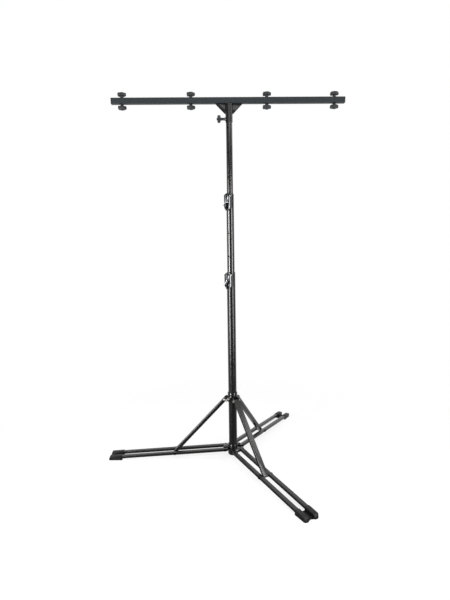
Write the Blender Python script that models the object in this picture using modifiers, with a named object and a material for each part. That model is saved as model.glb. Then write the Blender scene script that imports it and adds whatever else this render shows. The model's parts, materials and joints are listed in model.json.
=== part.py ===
"""Folding lighting stand with a T-bar: a telescopic mast of three round tubes on three twin-rail legs.

Metres, +Z up. The origin is the centre of the mast's closed underside, FLOOR_DROP above the floor.
The T-bar lies along X. Leg 1 points to the back right, leg 2 to the left and leg 3 to the front right.
"""

import math

import bmesh
import bpy
from mathutils import Matrix, Vector

# Clearances
SEAT_GAP = 0.0003
RUN_GAP = 0.0002
HOLE_GAP = 0.0003

# Mast
LOWER_RADIUS = 0.023
MID_RADIUS = 0.020
UPPER_RADIUS = 0.0165
TUBE_WALL = 0.0015
LOWER_BOTTOM_Z = 0.008
LOWER_TOP_Z = 1.037
MID_BOTTOM_Z = 0.500
MID_TOP_Z = 1.452
UPPER_BOTTOM_Z = 0.970
HOLE_PITCH = 0.125
LOCK_HOLE_RADIUS = 0.0044
MID_HOLE_COUNT_UP = 2
UPPER_HOLE_COUNT_UP = 3
HOLE_COUNT_DOWN = 2
BUSH_DEPTH = 0.060
BUSH_FLANGE = 0.0025
BUSH_EDGE = 0.0008
BUSH_LEAD = 0.0006
GLIDE_SPIGOT = 0.022
GLIDE_FLANGE = 0.012
GLIDE_WALL = 0.0030

# T-bar
BAR_LENGTH = 1.200
BAR_SIDE = 0.030
BAR_WALL = 0.0015
BAR_CORNER = 0.0025
BAR_CENTRE_Z = 1.923
CAP_THICKNESS = 0.004
CAP_SPIGOT = 0.014
CAP_SPIGOT_WALL = 0.0016
CAP_EDGE = 0.0014
KNOB_END_INSET = 0.055
KNOB_INNER_STATION = 0.195
STUD_RADIUS = 0.0040
SLEEVE_BORE_RADIUS = 0.0169
SLEEVE_WALL = 0.0016
SLEEVE_LENGTH = 0.091
GUSSET_SIDE = 0.050
GUSSET_THICKNESS = 0.004
GUSSET_TOE = 0.003
SLEEVE_KNOB_DROP = 0.075
BOSS_LENGTH = 0.010
BOSS_RADIUS = 0.0085
BOSS_TIP_RADIUS = 0.0065

# Star knobs
KNOB_LOBES = 5
KNOB_RADIUS = 0.0225
KNOB_VALLEY = 0.0050
KNOB_GRIP = 0.016
KNOB_NECK = 0.009
KNOB_NECK_RADIUS = 0.008
KNOB_DOME = 0.0045
KNOB_EDGE = 0.0025
DOME_SHOULDER = 0.30
DOME_CROWN_SHARE = 0.62
DOME_CROWN = 0.82
DOME_ROOT_SHARE = 1.10
SLEEVE_KNOB_RADIUS = 0.0195
SLEEVE_KNOB_NECK = 0.015
SLEEVE_KNOB_NECK_RADIUS = 0.0068
STUD_IN_KNOB = 0.015

# Base and legs
BASE_TURN_DEG = 56.8
LEG_COUNT = 3
FLOOR_DROP = 0.020
HUB_RADIUS = 0.029
HUB_TOP_Z = 0.062
PLUG_FLANGE_RADIUS = 0.027
PLUG_FLANGE = 0.004
PLUG_SPIGOT = 0.026
PLUG_WALL = 0.003
PLUG_EDGE = 0.0008
LEG_PIVOT_RADIUS = 0.045
LEG_PIVOT_Z = 0.037
LEG_LENGTH = 0.666
LEG_TIP_ABOVE_FLOOR = 0.012
LUG_RADIUS = 0.012
RAIL_WIDTH = 0.022
RAIL_HEIGHT = 0.015
RAIL_WALL = 0.0015
RAIL_CORNER = 0.0020
RAIL_PITCH = 0.056
RAIL_INBOARD = 0.014
STRUT_PIVOT_ON_LEG = 0.287
PIVOT_BOLT_RADIUS = 0.0040
BOLT_HEAD_RADIUS = 0.0070
BOLT_HEAD_THICKNESS = 0.0038

# Feet
FOOT_LENGTH = 0.076
FOOT_TOE_DEPTH = 0.012
FOOT_WALL = 0.0012
FOOT_INNER_WALL = 0.0014
FOOT_WEB_DROP = 0.0022
FOOT_NOTCH_DEPTH = 0.012
FOOT_TOE_RADIUS = 0.010
FOOT_TOE_SLANT_DEG = 24.0

# Struts and sliding collar
STRUT_WIDTH = 0.028
STRUT_HEIGHT = 0.018
STRUT_WALL = 0.0015
STRUT_CORNER = 0.0020
END_ROUNDING_GAP = 0.00005
CROSS_TUBE_RADIUS = 0.0078
COLLAR_PIVOT_RADIUS = 0.043
COLLAR_PIVOT_Z = 0.326
COLLAR_RADIUS = 0.027
COLLAR_BELOW = 0.014
COLLAR_ABOVE = 0.040
COLLAR_BORE_GAP = 0.0005
COLLAR_EDGE = 0.0015
CHEEK_THICKNESS = 0.004
CHEEK_UP = 0.016
CLAMP_RISE = 0.012
CLAMP_BOSS_RADIUS = 0.010
CLAMP_BOSS_END = 0.036
CLAMP_SCREW_RADIUS = 0.0042
TOMMY_AXIS_RADIUS = 0.046
TOMMY_LENGTH = 0.050
TOMMY_RADIUS = 0.0030
TOMMY_TILT_DEG = 45.0
CLAMP_HEAD_RADIUS = 0.0068
CLAMP_HEAD_HALF = 0.0065
CLAMP_HEAD_EDGE = 0.0012

# Index-pin locks
LOCK_ASIDE_DEG = 180.0
LOCK_PIN_DROP = 0.037
HOUSING_ABOVE_TUBE = 0.005
HOUSING_HEIGHT = 0.086
HOUSING_WIDTH_SHARE = 1.74
HOUSING_DEPTH = 0.0125
HOUSING_START = 0.008
HOUSING_EDGE = 0.0012
CHANNEL_FLOOR = 0.0050
CHANNEL_HALF_WIDTH = 0.0082
CHANNEL_TOP = 0.036
LEVER_PIVOT_UP = 0.028
LEVER_PIVOT_OUT = 0.0090
LEVER_THICKNESS = 0.0025
LEVER_WIDTH = 0.0150
LEVER_SET_OUT = 0.0008
LEVER_TOP_UP = 0.0040
LEVER_TIP_SLANT = 0.0010
LEVER_EYE_RADIUS = 0.0037
LEVER_TAIL_DOWN = 0.047
LEVER_TAIL_OUT = 0.010
LEVER_TAIL_RUN = 0.013
LEVER_HOLE_RADIUS = 0.0055
AXLE_RADIUS = 0.0020
AXLE_HEAD_RADIUS = 0.0045
AXLE_HEAD = 0.0018
AXLE_HEAD_TAPER = 0.80
PIN_RADIUS = 0.0035
PIN_TIP_GAP = 0.0004
PIN_HEAD_RADIUS = 0.0075
PIN_HEAD = 0.0035
PIN_NECK_RADIUS = 0.0050
PIN_EDGE = 0.0010
PIN_LENGTH_PAST_HEAD = 0.0120
FORK_SLOT = 0.0034
TOGGLE_EYE_RADIUS = 0.0038
TOGGLE_EYE_THICKNESS = 0.0026
TOGGLE_CROSS_RADIUS = 0.0012
TOGGLE_CROSS_INSET = 0.0008
TOGGLE_WEB_SHARE = 0.60
TOGGLE_WEB_OVERLAP = 0.0010
TOGGLE_ROD_RADIUS = 0.0021
TOGGLE_ROD_START = 0.0070
TOGGLE_LENGTH = 0.034
TOGGLE_END_RADIUS = 0.0034
TOGGLE_END_LENGTH = 0.008
TOGGLE_FLARE_START = 1.10
TOGGLE_DROOP_DEG = 38.0

# Facets
TUBE_STEPS = 32
TURNED_STEPS = 16
BOLT_STEPS = 10
ARC_STEPS = 2
ROUND_END_STEPS = 4
STADIUM_STEPS = 10
LOBE_STEPS = 5
SMOOTH_ANGLE = math.radians(35)
RIM_ANGLE = math.radians(69)
FACE_INSET = 0.0001
MERGE_DISTANCE = 0.000001

LOWER_BORE = LOWER_RADIUS - TUBE_WALL
MID_BORE = MID_RADIUS - TUBE_WALL
UPPER_BORE = UPPER_RADIUS - TUBE_WALL
SLEEVE_RADIUS = SLEEVE_BORE_RADIUS + SLEEVE_WALL
BAR_BOTTOM_Z = BAR_CENTRE_Z - BAR_SIDE / 2
KNOB_OUTER_STATION = BAR_LENGTH / 2 - KNOB_END_INSET
KNOB_STATIONS = (-KNOB_OUTER_STATION, -KNOB_INNER_STATION, KNOB_INNER_STATION, KNOB_OUTER_STATION)
UPPER_TOP_Z = BAR_BOTTOM_Z - SEAT_GAP
LEG_TIP_Z = LEG_TIP_ABOVE_FLOOR - FLOOR_DROP
LEG_SLOPE = math.asin((LEG_PIVOT_Z - LEG_TIP_Z) / LEG_LENGTH)
RAIL_INNER_FACE = (RAIL_PITCH - RAIL_WIDTH) / 2
RAIL_OUTER_FACE = (RAIL_PITCH + RAIL_WIDTH) / 2
RAIL_END = LEG_LENGTH - FOOT_TOE_DEPTH
STRUT_FOOT_RADIUS = LEG_PIVOT_RADIUS + STRUT_PIVOT_ON_LEG * math.cos(LEG_SLOPE)
STRUT_FOOT_Z = LEG_PIVOT_Z - STRUT_PIVOT_ON_LEG * math.sin(LEG_SLOPE)
STRUT_LENGTH = math.hypot(STRUT_FOOT_RADIUS - COLLAR_PIVOT_RADIUS, COLLAR_PIVOT_Z - STRUT_FOOT_Z)
STRUT_SLOPE = math.atan2(COLLAR_PIVOT_Z - STRUT_FOOT_Z, STRUT_FOOT_RADIUS - COLLAR_PIVOT_RADIUS)
BASE_TURN = math.radians(BASE_TURN_DEG)
LOCK_AZIMUTH = BASE_TURN + math.radians(LOCK_ASIDE_DEG)


def clear_scene():
    for obj in list(bpy.data.objects):
        bpy.data.objects.remove(obj, do_unlink=True)


def new_collection(name):
    collection = bpy.data.collections.new(name)
    bpy.context.scene.collection.children.link(collection)
    return collection


def material(name, colour, roughness, metallic):
    made = bpy.data.materials.new(name)
    made.use_nodes = True
    shader = made.node_tree.nodes["Principled BSDF"]
    shader.inputs["Base Color"].default_value = (*colour, 1.0)
    shader.inputs["Roughness"].default_value = roughness
    shader.inputs["Metallic"].default_value = metallic
    return made


def shade_round(mesh):
    mesh.shade_smooth()
    mesh.set_sharp_from_angle(angle=SMOOTH_ANGLE)


def mesh_object(name, mesh, finish, parent=None):
    """A part: a node of the stand, with its finish, under its joint's empty."""
    mesh.name = name
    obj = bpy.data.objects.new(name, mesh)
    mesh.materials.append(finish)
    shade_round(mesh)
    parts.objects.link(obj)
    obj.parent = parent
    return obj


def helper(mesh, parent):
    """A cutter or a piece to be joined, which is not itself a part."""
    obj = bpy.data.objects.new("shape", mesh)
    cutters.objects.link(obj)
    obj.parent = parent
    obj.hide_render = True
    obj.display_type = "WIRE"
    return obj


def combine(target, mesh, operation):
    """Joins or cuts the target with a mesh that is given in the target's own coordinates."""
    tool = helper(mesh, target)
    modifier = target.modifiers.new(operation.lower(), "BOOLEAN")
    modifier.operation = operation
    modifier.solver = "EXACT"
    modifier.object = tool


def join(target, mesh):
    combine(target, mesh, "UNION")


def cut(target, mesh):
    combine(target, mesh, "DIFFERENCE")


def mesh_from(shape):
    mesh = bpy.data.meshes.new("shape")
    shape.to_mesh(mesh)
    shape.free()
    return mesh


def turn_to(axis):
    """The rotation that carries +Z onto the given direction."""
    return Vector((0, 0, 1)).rotation_difference(Vector(axis)).to_matrix().to_4x4()


def cylinder(radius, start, end, steps=TURNED_STEPS, end_radius=None):
    """A closed cylinder or cone between two points."""
    start = Vector(start)
    end = Vector(end)
    shape = bmesh.new()
    bmesh.ops.create_cone(
        shape,
        cap_ends=True,
        segments=steps,
        radius1=radius,
        radius2=radius if end_radius is None else end_radius,
        depth=(end - start).length,
    )
    place = Matrix.Translation((start + end) / 2) @ turn_to((end - start).normalized())
    bmesh.ops.transform(shape, matrix=place, verts=shape.verts)
    return mesh_from(shape)


def block(low, high):
    """A box between its lowest and its highest corner."""
    low = Vector(low)
    high = Vector(high)
    shape = bmesh.new()
    bmesh.ops.create_cube(shape, size=1.0)
    place = Matrix.Translation((low + high) / 2) @ Matrix.Diagonal((*(high - low), 1.0))
    bmesh.ops.transform(shape, matrix=place, verts=shape.verts)
    return mesh_from(shape)


def rounded_rectangle(width, height, radius, steps=ARC_STEPS):
    """Outline points of a rectangle about the origin, with arcs at its corners."""
    points = []
    for corner, (sx, sy) in enumerate(((1, 1), (-1, 1), (-1, -1), (1, -1))):
        centre = Vector((sx * (width / 2 - radius), sy * (height / 2 - radius)))
        for step in range(steps + 1):
            angle = math.radians(90 * corner + 90 * step / steps)
            points.append(centre + radius * Vector((math.cos(angle), math.sin(angle))))
    return points


def stadium(length, width, steps=STADIUM_STEPS):
    """Outline points of a slot shape along X with half-round ends."""
    points = []
    for turn, end in ((-90, 1), (90, -1)):
        centre = Vector((end * (length - width) / 2, 0))
        for step in range(steps + 1):
            angle = math.radians(turn + 180 * step / steps)
            points.append(centre + width / 2 * Vector((math.cos(angle), math.sin(angle))))
    return points


def star(radius, valley, lobes, steps_per_lobe=LOBE_STEPS):
    """Outline points of a round head with soft lobes."""
    count = lobes * steps_per_lobe
    points = []
    for step in range(count):
        angle = 2 * math.pi * step / count
        dip = valley * (0.5 - 0.5 * math.cos(lobes * angle)) ** 1.5
        points.append((radius - dip) * Vector((math.cos(angle), math.sin(angle))))
    return points


def prism(loops, thickness, edge=0.0):
    """A flat outline, with any inner loops as openings, extruded along Z about the middle."""
    curve = bpy.data.curves.new("outline", "CURVE")
    curve.dimensions = "2D"
    curve.fill_mode = "BOTH"
    curve.extrude = thickness / 2
    for loop in loops:
        spline = curve.splines.new("POLY")
        spline.points.add(len(loop) - 1)
        for point, (x, y) in zip(spline.points, loop):
            point.co = (x, y, 0, 1)
        spline.use_cyclic_u = True
    guide = bpy.data.objects.new("outline", curve)
    cutters.objects.link(guide)
    bpy.context.view_layer.update()
    evaluated = guide.evaluated_get(bpy.context.evaluated_depsgraph_get())
    mesh = bpy.data.meshes.new_from_object(evaluated)
    bpy.data.objects.remove(guide)
    shape = bmesh.new()
    shape.from_mesh(mesh)
    bmesh.ops.remove_doubles(shape, verts=shape.verts, dist=MERGE_DISTANCE)
    bmesh.ops.recalc_face_normals(shape, faces=shape.faces)
    if edge:
        rim = [e for e in shape.edges if len(e.link_faces) == 2 and e.calc_face_angle() > RIM_ANGLE]
        bmesh.ops.bevel(shape, geom=rim, offset=edge, segments=1, affect="EDGES")
    mesh.materials.clear()
    shape.to_mesh(mesh)
    shape.free()
    return mesh


def moved(mesh, *matrices):
    for matrix in matrices:
        mesh.transform(matrix)
    return mesh


def along_x(mesh):
    """Turns a shape whose length is along Z so that it runs along X; its own X then points down."""
    return moved(mesh, Matrix.Rotation(math.radians(90), 4, "Y"))


def section_tube(width, height, wall, corner, start, end):
    """A rectangular tube along X, open at both ends; width is across Y."""
    outer = rounded_rectangle(height, width, corner)
    inner = rounded_rectangle(height - 2 * wall, width - 2 * wall, max(corner - wall, corner / 3))
    tube = prism([outer, inner], end - start)
    return moved(along_x(tube), Matrix.Translation(((start + end) / 2, 0, 0)))


def turned(profile, steps=TURNED_STEPS, closed=True):
    """A turned solid about Z. The profile's (radius, z) points run down its outer side."""
    mesh = bpy.data.meshes.new("profile")
    points = [(radius, 0, z) for radius, z in profile]
    edges = [(i, i + 1) for i in range(len(points) - 1)]
    if closed:
        edges.append((len(points) - 1, 0))
    mesh.from_pydata(points, edges, [])
    guide = bpy.data.objects.new("profile", mesh)
    cutters.objects.link(guide)
    screw = guide.modifiers.new("turn", "SCREW")
    screw.steps = steps
    screw.render_steps = steps
    screw.use_merge_vertices = True
    screw.merge_threshold = MERGE_DISTANCE
    screw.use_smooth_shade = False
    bpy.context.view_layer.update()
    evaluated = guide.evaluated_get(bpy.context.evaluated_depsgraph_get())
    made = bpy.data.meshes.new_from_object(evaluated)
    bpy.data.objects.remove(guide)
    shape = bmesh.new()
    shape.from_mesh(made)
    bmesh.ops.remove_doubles(shape, verts=shape.verts, dist=MERGE_DISTANCE)
    bmesh.ops.recalc_face_normals(shape, faces=shape.faces)
    shape.to_mesh(made)
    shape.free()
    return made


def ring(outer, inner, top, bottom, steps=TUBE_STEPS):
    return turned([(outer, top), (outer, bottom), (inner, bottom), (inner, top)], steps)


def pivot(name, location, rotation=(0, 0, 0), parent=None):
    """An empty on a joint's axis."""
    empty = bpy.data.objects.new(name, None)
    empty.location = location
    empty.rotation_euler = rotation
    empty.empty_display_size = 0.02
    parts.objects.link(empty)
    empty.parent = parent
    return empty


def lock_place(z):
    """Empty on the mast's axis at a lock pin's height, whose +X points out along the pin."""
    return pivot("lock_axis", (0, 0, z), (0, 0, LOCK_AZIMUTH))


def drill_row(tube, first_z, steps_down, steps_up, radius):
    """Cuts the lock's side of a tube at each step of the lock's pitch."""
    out = Vector((math.cos(LOCK_AZIMUTH), math.sin(LOCK_AZIMUTH), 0))
    for step in range(-round(steps_down), round(steps_up) + 1):
        height = Vector((0, 0, first_z + step * HOLE_PITCH))
        cut(tube, cylinder(radius, out * radius + height, out * 2 * LOWER_RADIUS + height, BOLT_STEPS))


def mast_tube(name, radius, bottom, top, finish, parent):
    mesh = ring(radius, radius - TUBE_WALL, top, bottom)
    return mesh_object(name, mesh, finish, parent)


def bush(name, tube_bore, tube_radius, inner_tube_radius, top_z, pin_z, parent):
    """Plastic guide in a tube's mouth, with a flange on the tube's end and a hole for the lock pin."""
    inner = inner_tube_radius + RUN_GAP
    outer = tube_bore - SEAT_GAP
    flange_low = top_z + SEAT_GAP
    flange_top = flange_low + BUSH_FLANGE
    profile = [
        (inner + BUSH_LEAD, flange_top),
        (tube_radius - BUSH_EDGE, flange_top),
        (tube_radius, flange_top - BUSH_EDGE),
        (tube_radius, flange_low),
        (outer, flange_low),
        (outer, top_z - BUSH_DEPTH),
        (inner, top_z - BUSH_DEPTH),
        (inner, flange_top - BUSH_LEAD),
    ]
    made = mesh_object(name, turned(profile, TUBE_STEPS), plastic, parent)
    drill_row(made, pin_z, 0, 0, LOCK_HOLE_RADIUS)
    return made


def glide(name, tube_bore, outer_bore, bottom_z, parent):
    """Plastic ring on a tube's lower end, which guides it inside the next tube."""
    flange = outer_bore - RUN_GAP
    spigot = tube_bore - SEAT_GAP
    low = bottom_z - SEAT_GAP - GLIDE_FLANGE
    profile = [
        (spigot, bottom_z + GLIDE_SPIGOT),
        (spigot, bottom_z - SEAT_GAP),
        (flange, bottom_z - SEAT_GAP),
        (flange, low),
        (spigot - GLIDE_WALL, low),
        (spigot - GLIDE_WALL, bottom_z + GLIDE_SPIGOT),
    ]
    return mesh_object(name, turned(profile, TUBE_STEPS), plastic, parent)


def lock_housing(name, tube_radius, place):
    """Black obround saddle on a tube, with an open channel for the lever."""
    width = HOUSING_WIDTH_SHARE * tube_radius
    outer = tube_radius + HOUSING_DEPTH
    top = LOCK_PIN_DROP + HOUSING_ABOVE_TUBE
    middle = top - HOUSING_HEIGHT / 2
    body = prism([stadium(HOUSING_HEIGHT, width)], outer - HOUSING_START, edge=HOUSING_EDGE)
    along_x(body)
    moved(body, Matrix.Translation(((outer + HOUSING_START) / 2, 0, middle)))
    made = mesh_object(name, body, enamel, place)
    reach = HOUSING_HEIGHT
    saddle = tube_radius + SEAT_GAP
    cut(made, cylinder(saddle, (0, 0, -reach), (0, 0, reach), TUBE_STEPS))
    channel_low = (tube_radius + CHANNEL_FLOOR, -CHANNEL_HALF_WIDTH, -reach)
    cut(made, block(channel_low, (outer + HOUSING_DEPTH, CHANNEL_HALF_WIDTH, CHANNEL_TOP)))
    cut(made, cylinder(LOCK_HOLE_RADIUS, (PIN_RADIUS, 0, 0), (outer, 0, 0), BOLT_STEPS))
    axle_x = tube_radius + LEVER_PIVOT_OUT
    hole = AXLE_RADIUS + HOLE_GAP
    ends = ((axle_x, -width, LEVER_PIVOT_UP), (axle_x, width, LEVER_PIVOT_UP))
    cut(made, cylinder(hole, *ends, BOLT_STEPS))
    return made


def lever_axle(name, tube_radius, place):
    """Rivet through the housing's cheeks that carries the lever."""
    half = HOUSING_WIDTH_SHARE * tube_radius / 2
    x = tube_radius + LEVER_PIVOT_OUT
    z = LEVER_PIVOT_UP
    made = cylinder(AXLE_RADIUS, (x, -half - AXLE_HEAD / 2, z), (x, half + AXLE_HEAD / 2, z), BOLT_STEPS)
    made = mesh_object(name, made, chrome, place)
    for side in (-1, 1):
        face = side * (half + SEAT_GAP)
        tip = face + side * AXLE_HEAD
        small = AXLE_HEAD_RADIUS * AXLE_HEAD_TAPER
        join(made, cylinder(AXLE_HEAD_RADIUS, (x, face, z), (x, tip, z), BOLT_STEPS, small))
    return made


def lock_lever(name, tube_radius, place):
    """Chrome thumb lever: an eye on the axle, a flat plate over the pin and a tail that kicks out."""
    axis = pivot(name + "_axis", (tube_radius + LEVER_PIVOT_OUT, 0, LEVER_PIVOT_UP), parent=place)
    inner = -LEVER_THICKNESS / 2 + LEVER_SET_OUT
    outer = inner + LEVER_THICKNESS
    knee = -LEVER_PIVOT_UP - LEVER_TAIL_DOWN + LEVER_TAIL_RUN
    tail = -LEVER_PIVOT_UP - LEVER_TAIL_DOWN
    slant = LEVER_TIP_SLANT
    side = [
        (inner, LEVER_TOP_UP),
        (inner, knee),
        (inner + LEVER_TAIL_OUT, tail),
        (outer + LEVER_TAIL_OUT + slant, tail + slant),
        (outer, knee + slant),
        (outer, LEVER_TOP_UP),
    ]
    plate = prism([side], LEVER_WIDTH)
    moved(plate, Matrix.Rotation(math.radians(90), 4, "X"))
    made = mesh_object(name, plate, chrome, axis)
    half = LEVER_WIDTH / 2 - FACE_INSET
    join(made, cylinder(LEVER_EYE_RADIUS, (0, -half, 0), (0, half, 0), TURNED_STEPS))
    cut(made, cylinder(AXLE_RADIUS + HOLE_GAP, (0, -LEVER_WIDTH, 0), (0, LEVER_WIDTH, 0), BOLT_STEPS))
    height = -LEVER_PIVOT_UP
    bore = cylinder(LEVER_HOLE_RADIUS, (-LEVER_WIDTH, 0, height), (LEVER_WIDTH, 0, height), TURNED_STEPS)
    cut(made, bore)
    return made


def pin_head_start(tube_radius):
    """Where the index pin's head bears on the lever's outer face."""
    return tube_radius + LEVER_PIVOT_OUT + LEVER_THICKNESS / 2 + LEVER_SET_OUT + SEAT_GAP


def toggle_axis_out(tube_radius):
    return pin_head_start(tube_radius) + PIN_HEAD + PIN_LENGTH_PAST_HEAD - TOGGLE_EYE_RADIUS


def index_pin(name, tube_radius, inner_tube_radius, place):
    """Spring pin with a collar on the lever and a forked end for the pull toggle."""
    tip = inner_tube_radius + PIN_TIP_GAP
    head = pin_head_start(tube_radius)
    end = head + PIN_HEAD + PIN_LENGTH_PAST_HEAD
    cross = toggle_axis_out(tube_radius)
    profile = [
        (0, end),
        (PIN_NECK_RADIUS - PIN_EDGE, end),
        (PIN_NECK_RADIUS, end - PIN_EDGE),
        (PIN_NECK_RADIUS, head + PIN_HEAD),
        (PIN_HEAD_RADIUS - PIN_EDGE, head + PIN_HEAD),
        (PIN_HEAD_RADIUS, head + PIN_HEAD - PIN_EDGE),
        (PIN_HEAD_RADIUS, head),
        (PIN_RADIUS, head),
        (PIN_RADIUS, tip + PIN_EDGE),
        (PIN_RADIUS - PIN_EDGE, tip),
        (0, tip),
    ]
    made = mesh_object(name, along_x(turned(profile, TURNED_STEPS, closed=False)), chrome, place)
    slot_start = cross - TOGGLE_EYE_RADIUS - SEAT_GAP
    span = PIN_HEAD_RADIUS * 2
    cut(made, block((slot_start, -FORK_SLOT / 2, -span), (end + span, FORK_SLOT / 2, span)))
    half = PIN_NECK_RADIUS - TOGGLE_CROSS_INSET
    join(made, cylinder(TOGGLE_CROSS_RADIUS, (cross, -half, 0), (cross, half, 0), BOLT_STEPS))
    return made


def pull_toggle(name, tube_radius, place):
    """Slim rod that hangs from the pin's fork and is pulled to free the lock."""
    droop = math.radians(TOGGLE_DROOP_DEG)
    axis = pivot(name + "_axis", (toggle_axis_out(tube_radius), 0, 0), (0, droop, 0), place)
    half = TOGGLE_EYE_THICKNESS / 2
    eye = cylinder(TOGGLE_EYE_RADIUS, (0, -half, 0), (0, half, 0), TURNED_STEPS)
    made = mesh_object(name, eye, chrome, axis)
    web = half - FACE_INSET
    web_half = TOGGLE_EYE_RADIUS * TOGGLE_WEB_SHARE
    join(made, block((0, -web, -web_half), (TOGGLE_ROD_START + TOGGLE_WEB_OVERLAP, web, web_half)))
    far = (TOGGLE_LENGTH - TOGGLE_END_LENGTH / 2, 0, 0)
    join(made, cylinder(TOGGLE_ROD_RADIUS, (TOGGLE_ROD_START, 0, 0), far, BOLT_STEPS))
    end_start = (TOGGLE_LENGTH - TOGGLE_END_LENGTH, 0, 0)
    slim = TOGGLE_ROD_RADIUS * TOGGLE_FLARE_START
    join(made, cylinder(slim, end_start, (TOGGLE_LENGTH, 0, 0), BOLT_STEPS, TOGGLE_END_RADIUS))
    hole = TOGGLE_CROSS_RADIUS + HOLE_GAP
    cut(made, cylinder(hole, (0, -TOGGLE_LENGTH, 0), (0, TOGGLE_LENGTH, 0), BOLT_STEPS))
    return made


def lock_set(prefix, tube_radius, inner_tube_radius, top_z):
    place = lock_place(top_z - LOCK_PIN_DROP)
    lock_housing(prefix + "_lock_housing", tube_radius, place)
    lever_axle(prefix + "_lock_axle", tube_radius, place)
    lock_lever(prefix + "_lock_lever", tube_radius, place)
    index_pin(prefix + "_index_pin", tube_radius, inner_tube_radius, place)
    pull_toggle(prefix + "_pull_toggle", tube_radius, place)


def mast():
    lower_pin_z = LOWER_TOP_Z - LOCK_PIN_DROP
    upper_pin_z = MID_TOP_Z - LOCK_PIN_DROP
    lower = mast_tube("lower_tube", LOWER_RADIUS, LOWER_BOTTOM_Z, LOWER_TOP_Z, enamel, None)
    drill_row(lower, lower_pin_z, 0, 0, LOCK_HOLE_RADIUS)
    bush("lower_tube_bush", LOWER_BORE, LOWER_RADIUS, MID_RADIUS, LOWER_TOP_Z, lower_pin_z, None)
    middle = mast_tube("mid_tube", MID_RADIUS, MID_BOTTOM_Z, MID_TOP_Z, enamel, None)
    drill_row(middle, lower_pin_z, HOLE_COUNT_DOWN, MID_HOLE_COUNT_UP, LOCK_HOLE_RADIUS)
    drill_row(middle, upper_pin_z, 0, 0, LOCK_HOLE_RADIUS)
    bush("mid_tube_bush", MID_BORE, MID_RADIUS, UPPER_RADIUS, MID_TOP_Z, upper_pin_z, None)
    glide("mid_tube_glide", MID_BORE, LOWER_BORE, MID_BOTTOM_Z, None)
    upper = mast_tube("upper_tube", UPPER_RADIUS, UPPER_BOTTOM_Z, UPPER_TOP_Z, enamel, None)
    drill_row(upper, upper_pin_z, HOLE_COUNT_DOWN, UPPER_HOLE_COUNT_UP, LOCK_HOLE_RADIUS)
    glide("upper_tube_glide", UPPER_BORE, MID_BORE, UPPER_BOTTOM_Z, None)
    lock_set("lower", LOWER_RADIUS, MID_RADIUS, LOWER_TOP_Z)
    lock_set("upper", MID_RADIUS, UPPER_RADIUS, MID_TOP_Z)


def knob_grip(radius, neck):
    """Lobed grip above a neck whose seat is at Z = 0."""
    grip = prism([star(radius, KNOB_VALLEY, KNOB_LOBES)], KNOB_GRIP, edge=KNOB_EDGE)
    return moved(grip, Matrix.Translation((0, 0, neck + KNOB_GRIP / 2)))


def star_knob(name, seat, direction, radius, neck, neck_radius, stud, parent):
    """Star knob seated at a point, pointing away from it; stud is its threaded rod's reach below the seat."""
    axis = pivot(name + "_axis", seat, parent=parent)
    axis.rotation_euler = turn_to(direction).to_euler()
    made = mesh_object(name, knob_grip(radius, neck), knob_plastic, axis)
    join(made, cylinder(neck_radius, (0, 0, 0), (0, 0, neck + KNOB_GRIP / 2), TURNED_STEPS))
    top = neck + KNOB_GRIP
    dome = [
        (0, top + KNOB_DOME),
        (neck_radius * DOME_CROWN_SHARE, top + KNOB_DOME * DOME_CROWN),
        (neck_radius, top + KNOB_DOME * DOME_SHOULDER),
        (neck_radius * DOME_ROOT_SHARE, top - KNOB_DOME),
        (0, top - KNOB_DOME),
    ]
    join(made, turned(dome, TURNED_STEPS, closed=False))
    if stud > 0:
        join(made, cylinder(STUD_RADIUS, (0, 0, -stud), (0, 0, neck), BOLT_STEPS))
    else:
        bore = STUD_RADIUS + HOLE_GAP
        cut(made, cylinder(bore, (0, 0, -neck), (0, 0, STUD_IN_KNOB + SEAT_GAP), BOLT_STEPS))
    return made


def end_cap(name, side, bar):
    """Plastic plug in the crossbar's end: a pillowed head and a hollow spigot."""
    head = prism([rounded_rectangle(BAR_SIDE, BAR_SIDE, BAR_CORNER)], CAP_THICKNESS, edge=CAP_EDGE)
    head = along_x(head)
    start = BAR_LENGTH / 2 - CAP_THICKNESS
    moved(head, Matrix.Translation((start + CAP_THICKNESS / 2, 0, 0)))
    spigot_side = BAR_SIDE - 2 * BAR_WALL - 2 * SEAT_GAP
    spigot = section_tube(
        spigot_side, spigot_side, CAP_SPIGOT_WALL, BAR_CORNER, start - CAP_SPIGOT, start + CAP_THICKNESS / 2
    )
    if side < 0:
        moved(head, Matrix.Rotation(math.pi, 4, "Z"))
        moved(spigot, Matrix.Rotation(math.pi, 4, "Z"))
    made = mesh_object(name, head, plastic, bar)
    join(made, spigot)
    return made


def tbar():
    swivel = pivot("tbar_swivel", (0, 0, BAR_CENTRE_Z))
    half = BAR_LENGTH / 2 - CAP_THICKNESS - SEAT_GAP
    bar = mesh_object(
        "crossbar", section_tube(BAR_SIDE, BAR_SIDE, BAR_WALL, BAR_CORNER, -half, half), enamel, swivel
    )
    face = BAR_SIDE / 2
    for number, x in enumerate(KNOB_STATIONS, 1):
        hole = STUD_RADIUS + HOLE_GAP
        cut(bar, cylinder(hole, (x, 0, -BAR_SIDE), (x, 0, BAR_SIDE), BOLT_STEPS))
        reach = BAR_SIDE + 2 * SEAT_GAP + STUD_IN_KNOB
        seat = face + SEAT_GAP
        grip = (KNOB_RADIUS, KNOB_NECK, KNOB_NECK_RADIUS)
        star_knob(f"fixture_knob_{number}_upper", (x, 0, seat), (0, 0, 1), *grip, reach, swivel)
        star_knob(f"fixture_knob_{number}_lower", (x, 0, -seat), (0, 0, -1), *grip, 0, swivel)
    end_cap("bar_end_cap_left", -1, swivel)
    end_cap("bar_end_cap_right", 1, swivel)
    sleeve(swivel)


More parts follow.
